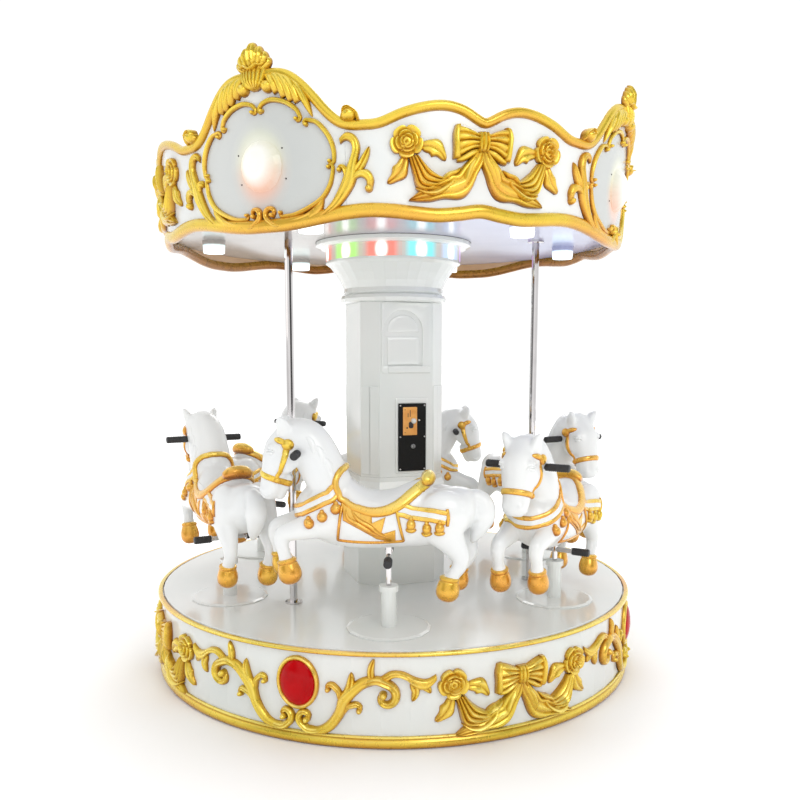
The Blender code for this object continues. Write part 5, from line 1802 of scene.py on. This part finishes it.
def hoof(path, side, ahead):
    """A ball under a narrow cuff, along the leg's own line."""
    (x0, z0), (x1, z1) = path
    x, z = x0 + (x1 - x0) * HOOF_SHARE + ahead, z0 + (z1 - z0) * HOOF_SHARE
    skin = loft(np.stack([x, z, HOOF_RADIUS, HOOF_RADIUS * 0.94], -1), side, sides=24)
    return Skin(skin.points, skin.quads, skin.tris, np.full(len(skin.points), HOOF_RELIEF))


def hooves():
    made = []
    for side in (1, -1):
        made.append(hoof([(-0.254, 0.552), (-0.240, 0.455)], side * THIGH_SIDE, side * STAGGER))
        made.append(hoof([(0.407, 0.616), (0.384, 0.518)], side * FOREARM_SIDE, -side * STAGGER))
    return made


# %% Put the tack together once
STRIPE_MIDDLE, STRIPE_WIDTH, STRIPE_HEIGHT = 0.0175, 0.020, 0.008
STRAP_WIDTH, STRAP_HEIGHT = 0.036, 0.006


def both_flanks(skins):
    paper = joined([outward(s) for s in skins])
    return [paper.mapped(on_flank(side)) for side in (1, -1)]


TACK_GOLD = saddle_gold() + both_flanks(flank_gold() + rosettes()) + bridle_gold() + hooves()
for middle in (STRIPE_MIDDLE, -STRIPE_MIDDLE):
    TACK_GOLD += straps(middle, STRIPE_WIDTH, STRIPE_HEIGHT, 5.0)
TACK_WHITE = both_flanks(blanket_white() + face_and_mane()) + straps(0.0, STRAP_WIDTH, STRAP_HEIGHT, 6.0)
bpy.data.objects.remove(HORSE_FORM)
print("tack points", sum(len(s.points) for s in TACK_GOLD + TACK_WHITE))

# %% [markdown]
# ## Six horses on the deck
# The finished horse and its tack are copied to six places. Each copy is turned and moved in its points and
# not by its object, so that every piece sits at the origin like the CAD nodes. Each horse has its own
# height, because its crank stopped at another point of the turn.

# %% Horse places
HORSE_RING, HORSE_TURN = 0.817, 18.0
HORSE_LIFTS = [0.036, -0.033, -0.006, -0.030, 0.020, 0.013]


def horse_place(i):
    """Turns the horse's frame by its angle plus half a turn and moves it out to the ring and up."""
    angle = math.radians(HORSE_TURN + 60 * i)
    cosine, sine = math.cos(angle + math.pi), math.sin(angle + math.pi)
    turn = np.array([[cosine, -sine, 0], [sine, cosine, 0], [0, 0, 1]])
    shift = np.array([HORSE_RING * math.sin(angle), -HORSE_RING * math.cos(angle), HORSE_LIFTS[i]])
    return lambda p: p @ turn.T + shift


# %% Grips and foot sleeves
def sleeve(profile, x, z, side):
    """A turned piece about a line along y: profile gives (place along y, radius), and it is a closed tube."""
    turn = circle(20)
    rings = np.stack([
        x + profile[:, 1:] * np.cos(turn),
        np.broadcast_to(side * profile[:, :1], (len(profile), len(turn))),
        z + profile[:, 1:] * np.sin(turn),
    ], -1)
    return tube_skin(rings, np.ones(rings.shape[:2]))


def ribbed(start, end, radius, rib, count):
    """A rubber sleeve: the radius swells by a cosine along it, with a round end."""
    v = np.linspace(0, 1, count * 8)
    wave = radius + rib * np.clip(np.cos(2 * math.pi * count * v), -0.3, 1)
    wave *= np.clip(1 - np.abs(2 * v - 1) ** 24, 0, 1) ** 0.5 * 0.35 + 0.65
    return np.stack([start + (end - start) * v, wave], -1)


GRIP = ribbed(0.086, 0.1735, 0.0148, 0.0010, 11)
FOOT = ribbed(0.078, 0.1515, 0.0158, 0.0010, 8)
HANDLE_X, HANDLE_Z, FOOT_BAR_Z = 0.336, 1.014, 0.612
RUBBERS = [sleeve(GRIP, HANDLE_X, HANDLE_Z, side) for side in (1, -1)]
RUBBERS += [sleeve(FOOT, 0.0, FOOT_BAR_Z, side) for side in (1, -1)]
for i in range(6):
    place = horse_place(i)
    body = f"horse_{i + 1}"
    shell = put(f"horse_form_{i + 1}", [HORSE.mapped(place)], HORSE_WHITE, body, sharp=180)
    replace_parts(shell, body)
    put(f"horse_gold_{i + 1}", [s.mapped(place) for s in TACK_GOLD], TACK_PAINT, body)
    put(f"horse_blanket_{i + 1}", [s.mapped(place) for s in TACK_WHITE], HORSE_WHITE, body)
    put(f"horse_rubbers_{i + 1}", [s.mapped(place) for s in RUBBERS], RUBBER, body)
print("triangles so far", TRIANGLES["all"])
